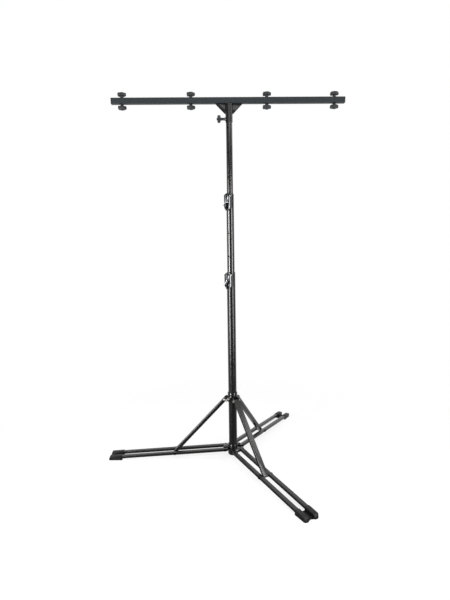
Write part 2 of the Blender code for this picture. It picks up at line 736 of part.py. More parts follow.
def sleeve(swivel):
    """Socket under the bar that drops over the top tube, with two gussets and a clamp knob on its left."""
    top = -BAR_SIDE / 2 - SEAT_GAP
    bottom = top - SLEEVE_LENGTH
    tube = ring(SLEEVE_RADIUS, SLEEVE_BORE_RADIUS, top, bottom)
    made = mesh_object("tbar_sleeve", tube, enamel, swivel)
    inside = SLEEVE_RADIUS - SLEEVE_WALL / 2
    for side in (-1, 1):
        outline = [
            (side * inside, top),
            (side * (SLEEVE_RADIUS + GUSSET_SIDE), top),
            (side * (SLEEVE_RADIUS + GUSSET_SIDE), top - GUSSET_TOE),
            (side * (SLEEVE_RADIUS + GUSSET_TOE), top - GUSSET_SIDE),
            (side * inside, top - GUSSET_SIDE),
        ]
        plate = prism([outline], GUSSET_THICKNESS)
        join(made, moved(plate, Matrix.Rotation(math.radians(90), 4, "X")))
    height = -BAR_SIDE / 2 - SLEEVE_KNOB_DROP
    boss_end = SLEEVE_RADIUS + BOSS_LENGTH
    inner = (-inside, 0, height)
    join(made, cylinder(BOSS_RADIUS, inner, (-boss_end, 0, height), TURNED_STEPS, BOSS_TIP_RADIUS))
    hole = STUD_RADIUS + HOLE_GAP
    cut(made, cylinder(hole, (-UPPER_RADIUS / 2, 0, height), (-2 * boss_end, 0, height), BOLT_STEPS))
    stud = boss_end + SEAT_GAP - UPPER_RADIUS - SEAT_GAP
    seat = (-boss_end - SEAT_GAP, 0, height)
    grip = (SLEEVE_KNOB_RADIUS, SLEEVE_KNOB_NECK, SLEEVE_KNOB_NECK_RADIUS)
    star_knob("sleeve_knob", seat, (-1, 0, 0), *grip, stud, swivel)


def hex_bolt(name, outer_face, finish, place, x=0.0, z=0.0, start=None):
    """Pivot bolt across Y with a hexagonal head on each outer face, or on one side from a start."""
    head = outer_face + SEAT_GAP + BOLT_HEAD_THICKNESS
    near = -head + BOLT_HEAD_THICKNESS / 2 if start is None else start
    side = -1 if outer_face < 0 else 1
    far = side * (abs(outer_face) + SEAT_GAP + BOLT_HEAD_THICKNESS / 2)
    made = mesh_object(name, cylinder(PIVOT_BOLT_RADIUS, (x, near, z), (x, far, z), BOLT_STEPS), finish, place)
    for sign in (side, -side) if start is None else (side,):
        seat = sign * (abs(outer_face) + SEAT_GAP)
        tip = seat + sign * BOLT_HEAD_THICKNESS
        join(made, cylinder(BOLT_HEAD_RADIUS, (x, seat, z), (x, tip, z), 6))
    return made


def leg_azimuth(index):
    return BASE_TURN + 2 * math.pi * index / LEG_COUNT


def eye_outline(start, centre, radius):
    """Side outline of a lug that runs from a start to a half-round end about its pivot."""
    points = [(start, radius), (start, -radius)]
    for step in range(2 * ROUND_END_STEPS + 1):
        angle = math.radians(-90 + 90 * step / ROUND_END_STEPS)
        points.append((centre + radius * math.cos(angle), radius * math.sin(angle)))
    return points


def base_hub():
    """Cast sleeve round the mast's foot with three tongues, one between each leg's rails."""
    bottom = PLUG_FLANGE + SEAT_GAP
    mesh = cylinder(HUB_RADIUS, (0, 0, bottom), (0, 0, HUB_TOP_Z), TUBE_STEPS)
    hub = mesh_object("base_hub", mesh, enamel, None)
    half = RAIL_INNER_FACE - SEAT_GAP
    root = LOWER_RADIUS / 2
    for index in range(LEG_COUNT):
        turn = Matrix.Rotation(leg_azimuth(index), 4, "Z")
        tongue = prism([eye_outline(root, LEG_PIVOT_RADIUS, LUG_RADIUS)], 2 * half)
        upright = Matrix.Rotation(math.radians(90), 4, "X")
        join(hub, moved(tongue, upright, Matrix.Translation((0, 0, LEG_PIVOT_Z)), turn))
    for index in range(LEG_COUNT):
        turn = Matrix.Rotation(leg_azimuth(index), 4, "Z")
        ends = (
            (LEG_PIVOT_RADIUS, -RAIL_PITCH, LEG_PIVOT_Z),
            (LEG_PIVOT_RADIUS, RAIL_PITCH, LEG_PIVOT_Z),
        )
        cut(hub, moved(cylinder(PIVOT_BOLT_RADIUS + HOLE_GAP, *ends, BOLT_STEPS), turn))
    cut(hub, cylinder(LOWER_RADIUS + SEAT_GAP, (0, 0, -HUB_TOP_Z), (0, 0, 2 * HUB_TOP_Z), TUBE_STEPS))


def bottom_plug():
    spigot = LOWER_BORE - SEAT_GAP
    profile = [
        (spigot - PLUG_WALL, PLUG_FLANGE + PLUG_SPIGOT),
        (spigot, PLUG_FLANGE + PLUG_SPIGOT),
        (spigot, PLUG_FLANGE),
        (PLUG_FLANGE_RADIUS, PLUG_FLANGE),
        (PLUG_FLANGE_RADIUS, PLUG_EDGE),
        (PLUG_FLANGE_RADIUS - PLUG_EDGE, 0),
        (0, 0),
        (0, PLUG_FLANGE),
        (spigot - PLUG_WALL, PLUG_FLANGE),
    ]
    mesh_object("bottom_plug", turned(profile, TUBE_STEPS), plastic, None)


def foot(name, leg):
    """Moulded double shoe: a socket for each rail, a low web between them, slanted notched toes and a flat sole."""
    start = LEG_LENGTH - FOOT_LENGTH
    tip = LEG_LENGTH
    outer = RAIL_OUTER_FACE + SEAT_GAP + FOOT_WALL
    inner = RAIL_INNER_FACE - SEAT_GAP - FOOT_INNER_WALL
    top = RAIL_HEIGHT / 2 + SEAT_GAP + FOOT_WALL
    half = []
    half.append((start, outer))
    for step in range(ARC_STEPS + 1):
        angle = math.radians(90 - 90 * step / ARC_STEPS)
        centre = Vector((tip - FOOT_TOE_RADIUS, outer - FOOT_TOE_RADIUS))
        half.append(centre + FOOT_TOE_RADIUS * Vector((math.cos(angle), math.sin(angle))))
    half.append((tip, inner + FOOT_TOE_RADIUS / 2))
    half.append((tip - FOOT_TOE_RADIUS / 2, inner))
    half.append((tip - FOOT_NOTCH_DEPTH, 0))
    mirrored = [(x, -y) for x, y in reversed(half[:-1])]
    depth = top + 2 * FLOOR_DROP
    body = prism([half + mirrored], depth)
    made = mesh_object(name, moved(body, Matrix.Translation((0, 0, top - depth / 2))), rubber, leg)
    web_top = -STRUT_HEIGHT / 2 - FOOT_WEB_DROP
    cut(made, block((start - inner, -inner, web_top), (tip + inner, inner, 2 * top)))
    for side in (-1, 1):
        socket = section_block(side * RAIL_PITCH / 2, start - RAIL_HEIGHT, RAIL_END + SEAT_GAP)
        cut(made, socket)
    floor_z = -LEG_PIVOT_Z - FLOOR_DROP
    slope = Matrix.Rotation(-LEG_SLOPE, 4, "Y")
    ground = block((0, -RAIL_PITCH, floor_z - 2 * FLOOR_DROP), (2 * LEG_LENGTH, RAIL_PITCH, floor_z))
    cut(made, moved(ground, slope))
    slant = Matrix.Rotation(math.radians(-FOOT_TOE_SLANT_DEG), 4, "Y")
    sole = top - RAIL_HEIGHT - 2 * FOOT_WALL - FOOT_WEB_DROP
    wedge = block((0, -RAIL_PITCH, -top), (FOOT_LENGTH, RAIL_PITCH, FOOT_LENGTH))
    cut(made, moved(wedge, slant, Matrix.Translation((tip, 0, sole))))
    return made


def section_block(y, start, end):
    """The room that a rail needs in a foot."""
    outline = rounded_rectangle(RAIL_HEIGHT + 2 * SEAT_GAP, RAIL_WIDTH + 2 * SEAT_GAP, RAIL_CORNER, 2)
    made = along_x(prism([outline], end - start))
    return moved(made, Matrix.Translation(((start + end) / 2, y, 0)))


def leg(index):
    """Twin rails on a hinge at the hub, with a foot and the two screws of the strut's pivot."""
    number = index + 1
    azimuth = leg_azimuth(index)
    base = Vector((math.cos(azimuth), math.sin(azimuth), 0)) * LEG_PIVOT_RADIUS
    axis = pivot(f"leg_{number}_axis", base + Vector((0, 0, LEG_PIVOT_Z)), (0, LEG_SLOPE, azimuth))
    level = pivot(f"hub_bolt_{number}_axis", base + Vector((0, 0, LEG_PIVOT_Z)), (0, 0, azimuth))
    hex_bolt(f"hub_bolt_{number}", RAIL_OUTER_FACE, zinc, level)
    hole = PIVOT_BOLT_RADIUS + HOLE_GAP
    for side, word in ((-1, "right"), (1, "left")):
        tube = section_tube(RAIL_WIDTH, RAIL_HEIGHT, RAIL_WALL, RAIL_CORNER, -RAIL_INBOARD, RAIL_END)
        moved(tube, Matrix.Translation((0, side * RAIL_PITCH / 2, 0)))
        rail = mesh_object(f"leg_{number}_rail_{word}", tube, enamel, axis)
        for x in (0, STRUT_PIVOT_ON_LEG):
            cut(rail, cylinder(hole, (x, 0, 0), (x, side * RAIL_PITCH, 0), BOLT_STEPS))
        reach = side * (RAIL_INNER_FACE + SEAT_GAP)
        hex_bolt(
            f"leg_{number}_pivot_screw_{word}", side * RAIL_OUTER_FACE, zinc, axis, STRUT_PIVOT_ON_LEG, 0, reach
        )
    foot(f"foot_{number}", axis)


def end_rounding(eye, x, side):
    """What is cut off a strut's end so that it is round about its pivot."""
    radius = eye + END_ROUNDING_GAP
    far = x + side * 2 * eye
    outline = [(x, 2 * eye), (x, radius)]
    for step in range(1, 2 * ROUND_END_STEPS):
        angle = math.radians(90 - 90 * step / ROUND_END_STEPS)
        outline.append((x + side * radius * math.cos(angle), radius * math.sin(angle)))
    outline += [(x, -radius), (x, -2 * eye), (far, -2 * eye), (far, 2 * eye)]
    return moved(prism([outline], 2 * STRUT_WIDTH), Matrix.Rotation(math.radians(90), 4, "X"))


def strut(index):
    """Brace from the collar to a leg, with rounded eyes and a cross tube that fills the gap between the rails."""
    number = index + 1
    azimuth = leg_azimuth(index)
    top = Vector((math.cos(azimuth), math.sin(azimuth), 0)) * COLLAR_PIVOT_RADIUS
    axis = pivot(f"strut_{number}_axis", top + Vector((0, 0, COLLAR_PIVOT_Z)), (0, STRUT_SLOPE, azimuth))
    eye = STRUT_HEIGHT / 2
    tube = section_tube(STRUT_WIDTH, STRUT_HEIGHT, STRUT_WALL, STRUT_CORNER, -eye, STRUT_LENGTH + eye)
    made = mesh_object(f"strut_{number}", tube, enamel, axis)
    cut(made, end_rounding(eye, 0, -1))
    cut(made, end_rounding(eye, STRUT_LENGTH, 1))
    across = RAIL_INNER_FACE - SEAT_GAP
    ends = ((STRUT_LENGTH, -across, 0), (STRUT_LENGTH, across, 0))
    join(made, cylinder(CROSS_TUBE_RADIUS, *ends, TURNED_STEPS))
    hole = PIVOT_BOLT_RADIUS + HOLE_GAP
    for x in (0, STRUT_LENGTH):
        cut(made, cylinder(hole, (x, -RAIL_PITCH, 0), (x, RAIL_PITCH, 0), BOLT_STEPS))
    level = pivot(f"strut_bolt_{number}_axis", top + Vector((0, 0, COLLAR_PIVOT_Z)), (0, 0, azimuth))
    hex_bolt(f"strut_bolt_{number}", cheek_outer_face(), zinc, level)


def cheek_outer_face():
    return STRUT_WIDTH / 2 + SEAT_GAP + CHEEK_THICKNESS


def brace_collar():
    """Sliding collar with a pair of cheeks for each strut and a boss for its clamp screw."""
    bottom = COLLAR_PIVOT_Z - COLLAR_BELOW
    top = COLLAR_PIVOT_Z + COLLAR_ABOVE
    bore = LOWER_RADIUS + COLLAR_BORE_GAP
    profile = [
        (0, top),
        (COLLAR_RADIUS - COLLAR_EDGE, top),
        (COLLAR_RADIUS, top - COLLAR_EDGE),
        (COLLAR_RADIUS, bottom + COLLAR_EDGE),
        (COLLAR_RADIUS - COLLAR_EDGE, bottom),
        (0, bottom),
    ]
    collar = mesh_object("brace_collar", turned(profile, TUBE_STEPS, closed=False), enamel, None)
    inner = STRUT_WIDTH / 2 + SEAT_GAP
    root = bore / 2
    low = -STRUT_HEIGHT / 2
    for index in range(LEG_COUNT):
        turn = Matrix.Rotation(leg_azimuth(index), 4, "Z")
        for side in (-1, 1):
            outline = [(root, CHEEK_UP), (root, low), (COLLAR_PIVOT_RADIUS, low)]
            for step in range(1, ROUND_END_STEPS + 2):
                angle = math.radians(-90 + 90 * step / ROUND_END_STEPS)
                rim = STRUT_HEIGHT / 2 * Vector((math.cos(angle), math.sin(angle)))
                outline.append((COLLAR_PIVOT_RADIUS + rim.x, rim.y))
            outline.append((COLLAR_RADIUS, CHEEK_UP))
            cheek = prism([outline], CHEEK_THICKNESS)
            moved(cheek, Matrix.Rotation(math.radians(90), 4, "X"))
            place = Matrix.Translation((0, side * (inner + CHEEK_THICKNESS / 2), COLLAR_PIVOT_Z))
            join(collar, moved(cheek, place, turn))
    clamp_turn = Matrix.Rotation(LOCK_AZIMUTH, 4, "Z")
    clamp_z = COLLAR_PIVOT_Z + CLAMP_RISE
    boss = cylinder(CLAMP_BOSS_RADIUS, (root, 0, clamp_z), (CLAMP_BOSS_END, 0, clamp_z), TURNED_STEPS)
    join(collar, moved(boss, clamp_turn))
    cut(collar, cylinder(bore, (0, 0, bottom - COLLAR_BELOW), (0, 0, top + COLLAR_BELOW), TUBE_STEPS))
    hole_radius = CLAMP_SCREW_RADIUS + HOLE_GAP
    hole = cylinder(hole_radius, (root, 0, clamp_z), (2 * CLAMP_BOSS_END, 0, clamp_z), BOLT_STEPS)
    cut(collar, moved(hole, clamp_turn))
    for index in range(LEG_COUNT):
        turn = Matrix.Rotation(leg_azimuth(index), 4, "Z")
        ends = (
            (COLLAR_PIVOT_RADIUS, -COLLAR_RADIUS, COLLAR_PIVOT_Z),
            (COLLAR_PIVOT_RADIUS, COLLAR_RADIUS, COLLAR_PIVOT_Z),
        )
        cut(collar, moved(cylinder(PIVOT_BOLT_RADIUS + HOLE_GAP, *ends, BOLT_STEPS), turn))


def clamp_screw():
    """Tommy-bar screw that clamps the collar to the mast."""
    axis = pivot("collar_clamp_axis", (0, 0, COLLAR_PIVOT_Z + CLAMP_RISE), (0, 0, LOCK_AZIMUTH))
    tip = LOWER_RADIUS + PIN_TIP_GAP
    head_start = TOMMY_AXIS_RADIUS - CLAMP_HEAD_HALF
    head_end = TOMMY_AXIS_RADIUS + CLAMP_HEAD_HALF
    profile = [
        (0, head_end),
        (CLAMP_HEAD_RADIUS - CLAMP_HEAD_EDGE, head_end),
        (CLAMP_HEAD_RADIUS, head_end - CLAMP_HEAD_EDGE),
        (CLAMP_HEAD_RADIUS, head_start + CLAMP_HEAD_EDGE),
        (CLAMP_HEAD_RADIUS - CLAMP_HEAD_EDGE, head_start),
        (CLAMP_SCREW_RADIUS, head_start),
        (CLAMP_SCREW_RADIUS, tip),
        (0, tip),
    ]
    screw = turned(profile, TURNED_STEPS, closed=False)
    made = mesh_object("collar_clamp_screw", along_x(screw), zinc, axis)
    tilt = math.radians(TOMMY_TILT_DEG)
    reach = TOMMY_LENGTH / 2 * Vector((0, math.cos(tilt), -math.sin(tilt)))
    middle = Vector((TOMMY_AXIS_RADIUS, 0, 0))
    join(made, cylinder(TOMMY_RADIUS, middle - reach, middle + reach, BOLT_STEPS))


clear_scene()
parts = new_collection("light_stand")
cutters = new_collection("cutters")
cutters.hide_render = True
enamel = material("black_powder_coat", (0.012, 0.012, 0.013), 0.32, 0.0)
plastic = material("black_moulded_plastic", (0.018, 0.018, 0.019), 0.55, 0.0)
knob_plastic = material("knob_plastic", (0.030, 0.032, 0.034), 0.50, 0.0)
rubber = material("foot_rubber", (0.016, 0.016, 0.016), 0.75, 0.0)
chrome = material("chromed_steel", (0.70, 0.70, 0.70), 0.18, 1.0)
zinc = material("zinc_plated_steel", (0.55, 0.55, 0.54), 0.35, 1.0)
mast()
tbar()
base_hub()
bottom_plug()
for leg_index in range(LEG_COUNT):
    leg(leg_index)
    strut(leg_index)
brace_collar()
clamp_screw()
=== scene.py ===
"""Looks of the folding lighting stand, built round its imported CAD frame.

Metres, +Z up. The origin is the centre of the mast's closed underside, which hangs above the floor.
"""

import json
import math

import bpy
from bpy.props import FloatProperty, PointerProperty, StringProperty
from mathutils import Matrix, Vector


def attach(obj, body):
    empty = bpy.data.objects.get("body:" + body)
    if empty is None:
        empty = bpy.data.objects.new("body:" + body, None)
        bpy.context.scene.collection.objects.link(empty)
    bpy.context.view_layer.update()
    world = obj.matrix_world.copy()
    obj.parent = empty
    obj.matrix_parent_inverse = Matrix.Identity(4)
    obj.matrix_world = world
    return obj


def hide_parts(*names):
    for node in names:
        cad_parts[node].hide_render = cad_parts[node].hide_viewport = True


bl_info = {
    "name": "Folding Lighting Stand",
    "version": (1, 0, 0),
    "blender": (4, 5, 0),
    "location": "3D View > Sidebar > Lighting Stand",
    "description": "Builds the finished pieces of a folding lighting stand with a T-bar",
    "category": "Object",
}

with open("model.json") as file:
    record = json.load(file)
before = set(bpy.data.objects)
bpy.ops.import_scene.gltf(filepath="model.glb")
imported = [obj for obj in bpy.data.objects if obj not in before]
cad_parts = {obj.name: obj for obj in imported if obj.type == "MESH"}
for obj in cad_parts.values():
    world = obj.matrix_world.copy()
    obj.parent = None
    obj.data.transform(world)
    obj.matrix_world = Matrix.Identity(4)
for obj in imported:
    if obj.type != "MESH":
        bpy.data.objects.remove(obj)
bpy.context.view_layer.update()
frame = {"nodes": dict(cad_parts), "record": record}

# Lengths are in metres, and a turned profile is a row of radius and height

# Mast tubes: radius, bottom and top
WALL = 0.0015
LOWER = (0.023, 0.008, 1.037)
MID = (0.020, 0.500, 1.452)
UPPER = (0.0165, 0.970, 1.9077)
LOCK_DROP = 0.037
HOLE_STEP = 0.125
HOLE_RADIUS = 0.0044
SLIDE_GAP = 0.0002
SEAT_GAP = 0.0003
BUSH_DEPTH = 0.060
BUSH_FLANGE = 0.0025

# Locks
HOUSING_TOP = LOCK_DROP + 0.005
HOUSING_LOW = HOUSING_TOP - 0.086
HOUSING_BACK = 0.006
HOUSING_DEPTH = 0.0125
HOUSING_HALF_SHARE = 0.87
CHANNEL_BACK = 0.005
CHANNEL_HALF = 0.0082
CHANNEL_TOP = 0.036
CHANNEL_ROUND = 0.75 * CHANNEL_HALF
AXLE_RADIUS = 0.0020
AXLE_HOLE = 0.0023
AXLE_PROUD = 0.0006
RIVET = ((0.0045, 0), (0.0043, 0.0007), (0.0034, 0.0014), (0.0018, 0.0018), (0.0006, 0.0019))
LEVER_OUT = 0.0090
LEVER_UP = 0.028
LEVER_TOP = LEVER_UP + 0.004
LEVER_START = 0.020
LEVER_BACK = -0.00045
LEVER_FRONT = 0.00205
LEVER_HALF = 0.0075
LEVER_EYE = 0.0037
LEVER_EYE_HALF = LEVER_HALF - 0.0001
LEVER_WINDOW = 0.0055
# Heights down the lever's tail, each with its share of the kick
LEVER_TAIL = ((-0.034, 0.0), (-0.0375, 0.17), (-0.042, 0.48), (-0.047, 1.0))
TAIL_TAPER = 0.86
PIN_TIP_GAP = 0.0004
PIN_HEAD = 0.0035
PIN_PAST_HEAD = 0.0120
KNURL = 0.0075
KNURL_RIDGES = 20
KNURL_VALLEY = 0.95
PIN_NOSE = ((0.0022, 0), (0.0035, 0.0012))
PIN_COLLAR = (
    (0.0035, 0), (0.0070, 0), (KNURL, 0.0006), (KNURL, 0.0029), (0.0070, PIN_HEAD), (0.0050, PIN_HEAD)
)
PIN_END = ((0.0050, -0.0010), (0.0040, 0))
FORK_HALF = 0.0017
FORK_PIN = 0.0012
FORK_PIN_HALF = 0.0046
ROD_EYE = 0.0038
ROD_EYE_HALF = 0.0013
ROD_EYE_HOLE = 0.0015
ROD_NECK = ((0.0010, -0.00125, -0.0021), (0.0080, 0.00125, 0.0021))
ROD = (
    (0.0016, 0.0070), (0.0021, 0.0076), (0.0021, 0.0245), (0.0024, 0.0262),
    (0.0034, 0.0330), (0.0032, 0.0336), (0.0024, 0.0340),
)
ROD_EDGE = 0.0003
ROD_DROOP = math.radians(38)

# T-bar
BAR_HALF = 0.5957
BAR_SIDE = 0.030
BAR_Z = 1.923
CAP = 0.004
PILLOW = 0.0012
# The end plug's crown and spigot: steps along the bar, each with the size of its end
CROWN_STEPS = ((0.65 * PILLOW, 0.95), (0.35 * PILLOW, 0.85))
SPIGOT_STEPS = ((-0.0128, 1), (-0.0012, 0.96), (0, 0.86), (0.0135, 0.98))
KNOB_STATIONS = (-0.545, -0.195, 0.195, 0.545)
SLEEVE_BORE = 0.0169
SLEEVE_RADIUS = 0.0185
SLEEVE_TOP = 1.9077
SLEEVE_BOTTOM = 1.8167
SLEEVE_KNOB_Z = 1.833
GUSSET = 0.050
GUSSET_HALF = 0.002
GUSSET_TOE = 0.003
BOSS_END = 0.0285
BOSS = ((0.0100, 0.0150), (0.0088, 0.0192), (0.0078, 0.0215), (0.0070, 0.0275), (0.0064, BOSS_END))
WELD_RIPPLE = 0.0024
WELD_WAIST = 0.88
WELD_TAPER = 0.4
WELD_SINK = 0.0002
WELD_SHORT = 0.001
BAR_WELD_START = 0.020
BAR_WELD_DROP = 0.0006
BAR_WELD_SHORT = 0.004
BAR_WELD_SHARE = 0.85

# Knobs: a neck's length and radius, and a stud's reach below and above the knob's seat
FIXTURE_NECK = (0.009, 0.008)
FIXTURE_STUD = (BAR_SIDE + 2 * SEAT_GAP + 0.015, 0.006)
SLEEVE_NECK = (0.015, 0.0068)
SLEEVE_STUD = (0.0117, 0.008)
NUT_LEAD = 0.01
NUT_DEPTH = 0.0153
STUD_RADIUS = 0.0040
STUD_TIP = 0.0034
STUD_CHAMFER = 0.0006
STUD_HOLE = 0.0043

# Base
BASE_TURN = math.radians(56.8)
LOCK_AZIMUTH = BASE_TURN + math.pi
LEGS = 3
FLOOR_Z = -0.020
LEG_PIVOT = (0.045, 0.037)
LEG_LENGTH = 0.666
LEG_SLOPE = math.asin((0.037 + 0.008) / LEG_LENGTH)
RAIL_Y = 0.028
RAIL_WIDTH = 0.022
RAIL_HEIGHT = 0.015
RAIL_START = -0.014
RAIL_END = 0.654
RAIL_FACE = RAIL_Y + RAIL_WIDTH / 2
RAIL_DRILL = (0.005, 0.06)
GROOVES = 5
GROOVE_START = LEG_LENGTH - 0.066
GROOVE_STEP = 0.011
GROOVE_WIDTH = 0.003
STRUT_ON_LEG = 0.287
STRUT_TOP = (0.043, 0.326)
STRUT_WIDTH = 0.028
STRUT_HEIGHT = 0.018
STRUT_FOOT = (
    LEG_PIVOT[0] + STRUT_ON_LEG * math.cos(LEG_SLOPE),
    LEG_PIVOT[1] - STRUT_ON_LEG * math.sin(LEG_SLOPE),
)
STRUT_LENGTH = math.hypot(STRUT_FOOT[0] - STRUT_TOP[0], STRUT_TOP[1] - STRUT_FOOT[1])
STRUT_SLOPE = math.atan2(STRUT_TOP[1] - STRUT_FOOT[1], STRUT_FOOT[0] - STRUT_TOP[0])
CROSS_TUBE = 0.0078
BETWEEN_RAILS = 0.0167
BOLT_RADIUS = 0.0040
BOLT_HOLE = 0.0043
BOLT_PROUD = 0.001
SCREW_INNER_END = 0.0173
HEAD_GAP = 0.0001
WASHER = ((0.0078, 0), (0.0080, 0.0002), (0.0080, 0.0008), (0.0078, 0.0009))
HEXAGON = ((0.0068, 0.0008), (0.0070, 0.0012), (0.0070, 0.0033), (0.0061, 0.0038))
COLLAR_BOTTOM = 0.312
COLLAR_TOP = 0.366
COLLAR_RADIUS = 0.027
COLLAR_BORE = 0.0235
CHEEK_THICKNESS = 0.004
CHEEK_UP = 0.016
CHEEK_SLOPE = (0.8, 0, 1.0)
CHEEK_DRILL = 0.035
CLAMP_Z = 0.338
CLAMP_BOSS = ((0.0115, 0.018), (0.0102, 0.0300), (0.0100, 0.0350), (0.0092, 0.0360))
CLAMP_HOLE = 0.0045
CLAMP_HOLE_START = 0.010
CLAMP_SCREW = (
    (0.0034, 0.0234), (0.0042, 0.0244), (0.0042, 0.0395), (0.0060, 0.0395),
    (0.0068, 0.0405), (0.0068, 0.0515), (0.0060, 0.0525),
)
TOMMY_OUT = 0.046
TOMMY_TURN = math.radians(135)
TOMMY_END = [(0.0028, 0.0205), (0.0036, 0.0225), (0.0034, 0.0242), (0.0022, 0.0250)]
HUB_BOTTOM = 0.0043
HUB_TOP = 0.062
HUB_RADIUS = 0.029
LUG_RADIUS = 0.012
PLUG_FLANGE = [(0.0262, 0), (0.0270, 0.0008), (0.0270, 0.0032), (0.0262, 0.0040)]
PLUG_FLANGE_TOP = 0.0040
PLUG_TOP = 0.0300
PLUG_EDGE = 0.0010
PLUG_WALL = 0.003

# Studio: lamps with their setting, place, target and size, and the camera's place and its yaw, pitch and roll
LAMPS = (
    ("left_strip", "left", (-1.78, -1.60, 0.82), (0, 0, 0.82), (0.75, 1.60)),
    ("right_strip", "right", (1.70, -1.72, 0.90), (0, 0, 0.90), (0.65, 1.70)),
    ("high_panel", "high", (2.6, -0.8, 2.9), (0.1, -0.2, 0.2), (1.6, 1.6)),
    ("top_panel", "top", (0, -0.4, 3.6), (0, 0, 0), (2.8, 2.8)),
    ("front_panel", "front", (0.25, -3.8, 3.10), (0, 0, 1.2), (3.2, 1.4)),
)
CAMERA_PLACE = (-0.1234, -2.5971, 1.286)
CAMERA_ANGLES = (1.96, -8.68, -0.84)
FLOOR_SIDE = 16
FLOOR_GAP = 0.0002

# Facets round a tube, a knob, a medium and a small turned piece, and a bead
ROUND = 64
KNOB_ROUND = 60
LOBES = 5
MEDIUM_ROUND = 40
SMALL_ROUND = 28
BEAD_ROUND = 12

# Shaping: a quarter turn, how far a cutter reaches past a piece, the share of half a side that a full
# rounding takes, the error that still counts as level, and how squarely a picked face looks along an axis
QUARTER = math.pi / 2
PAST = 0.1
FULL = 0.96
LEVEL = 1e-5
FACING = 0.9

# Spans of a pattern's values: where most of a cloudy pattern lies, and all of it
CLOUDY = (0.3, 0.7)
WHOLE = (0.0, 1.0)


# Sizes and colours that can be changed


class StandSizes(bpy.types.PropertyGroup):
    """Sizes of edges, beads and grips that the frame leaves open."""

    rim: FloatProperty(name="Tube Rim", description="Rounding of tube rims", default=0.0004, unit="LENGTH")
    bar_corner: FloatProperty(name="Bar Corner", description="Bar's corner", default=0.0025, unit="LENGTH")
    rail_corner: FloatProperty(name="Rail Corner", description="Rails' corner", default=0.0022, unit="LENGTH")
    cast_edge: FloatProperty(name="Cast Edge", description="Castings' edges", default=0.0009, unit="LENGTH")
    plate_edge: FloatProperty(name="Plate Edge", description="Plates' edges", default=0.0006, unit="LENGTH")
    shoe_edge: FloatProperty(name="Shoe Edge", description="Shoes' edges", default=0.0008, unit="LENGTH")
    groove: FloatProperty(name="Sole Groove", description="Grooves' depth", default=0.0012, unit="LENGTH")
    bead: FloatProperty(name="Weld Bead", description="Radius of the welds", default=0.0017, unit="LENGTH")
    knob: FloatProperty(name="Knob", description="Radius of the fixture knobs", default=0.0225, unit="LENGTH")
    small_knob: FloatProperty(
        name="Sleeve Knob", description="Radius of the sleeve's knob", default=0.0195, unit="LENGTH"
    )
    valley: FloatProperty(name="Knob Valley", description="Dip between lobes", default=0.0050, unit="LENGTH")
    grip: FloatProperty(name="Knob Grip", description="Height of the lobes", default=0.016, unit="LENGTH")
    dish: FloatProperty(name="Knob Dish", description="Hollow round the cap", default=0.0010, unit="LENGTH")
    kick: FloatProperty(name="Lever Kick", description="Kick of the tail", default=0.0100, unit="LENGTH")


class StandColours(bpy.types.PropertyGroup):
    """Colours of the stand's finishes, as sRGB hex values."""

    coat: StringProperty(name="Powder Coat", description="Gloss black coat", default="#0d0d0d")
    worn: StringProperty(name="Rubbed Coat", description="Coat where tubes rub", default="#1d1b1a")
    bar: StringProperty(name="Bar Coat", description="Satin black coat of the bar", default="#1c2124")
    knob: StringProperty(name="Knobs", description="Black nylon", default="#191b1d")
    knob_pale: StringProperty(name="Knob High Spots", description="Paler nylon", default="#232628")
    moulded: StringProperty(name="Mouldings", description="Black plastic plugs and guides", default="#17181a")
    rubber: StringProperty(name="Shoes", description="Black rubber", default="#0e0e0e")
    dust: StringProperty(name="Dust", description="Dust held by the rubber", default="#1a1918")
    chrome: StringProperty(name="Chrome", description="Bright chrome", default="#c2c4c6")
    dark_chrome: StringProperty(name="Black Chrome", description="Chrome of the levers", default="#3a3b3d")
    zinc: StringProperty(name="Zinc", description="Bright zinc plate", default="#b2b2b0")
    old_zinc: StringProperty(name="Yellowed Zinc", description="Aged zinc plate", default="#98948b")
    black_zinc: StringProperty(name="Black Zinc", description="Black-dipped zinc plate", default="#242424")


class StudioSettings(bpy.types.PropertyGroup):
    """Light levels and camera of the studio."""

    fill: FloatProperty(name="Fill", description="Even light from all round", default=0.35, min=0)
    room: FloatProperty(name="Room", description="Room on the camera's side", default=0.10, min=0)
    left: FloatProperty(name="Left Strip", description="Left strip light", default=90, unit="POWER")
    right: FloatProperty(name="Right Strip", description="Right strip light", default=44, unit="POWER")
    high: FloatProperty(name="High Panel", description="Panel high on the right", default=30, unit="POWER")
    top: FloatProperty(name="Top Panel", description="Overhead panel light", default=60, unit="POWER")
    front: FloatProperty(name="Front Panel", description="High front panel light", default=38, unit="POWER")
    shadow: FloatProperty(name="Shadow", description="Real light on the floor", default=0.22, min=0, max=1)
    lens: FloatProperty(name="Lens", description="Focal length in millimetres", default=28.93, min=10)


def sizes():
    return bpy.context.scene.stand_sizes

def shift(x, y, z):
    return Matrix.Translation((x, y, z))


def spin(angle, axis):
    return Matrix.Rotation(angle, 4, axis)


# Selecting and shaping, as by hand


def only(piece):
    """Makes one piece the only one that is selected."""
    bpy.ops.object.select_all(action="DESELECT")
    piece.select_set(True)
    bpy.context.view_layer.objects.active = piece


def pick(piece, kind, test):
    """Opens a piece for editing with only the vertices, edges or faces that pass the test selected."""
    only(piece)
    bpy.ops.object.mode_set(mode="EDIT")
    bpy.ops.mesh.select_mode(type=kind)
    bpy.ops.mesh.select_all(action="DESELECT")
    bpy.ops.object.mode_set(mode="OBJECT")
    points = piece.data.vertices
    if kind == "VERT":
        for vertex in points:
            vertex.select = test(vertex.co)
    elif kind == "EDGE":
        for edge in piece.data.edges:
            edge.select = test(points[edge.vertices[0]].co, points[edge.vertices[1]].co)
    else:
        for face in piece.data.polygons:
            face.select = test(face.center, face.normal)
    bpy.ops.object.mode_set(mode="EDIT")


def leave():
    bpy.ops.object.mode_set(mode="OBJECT")


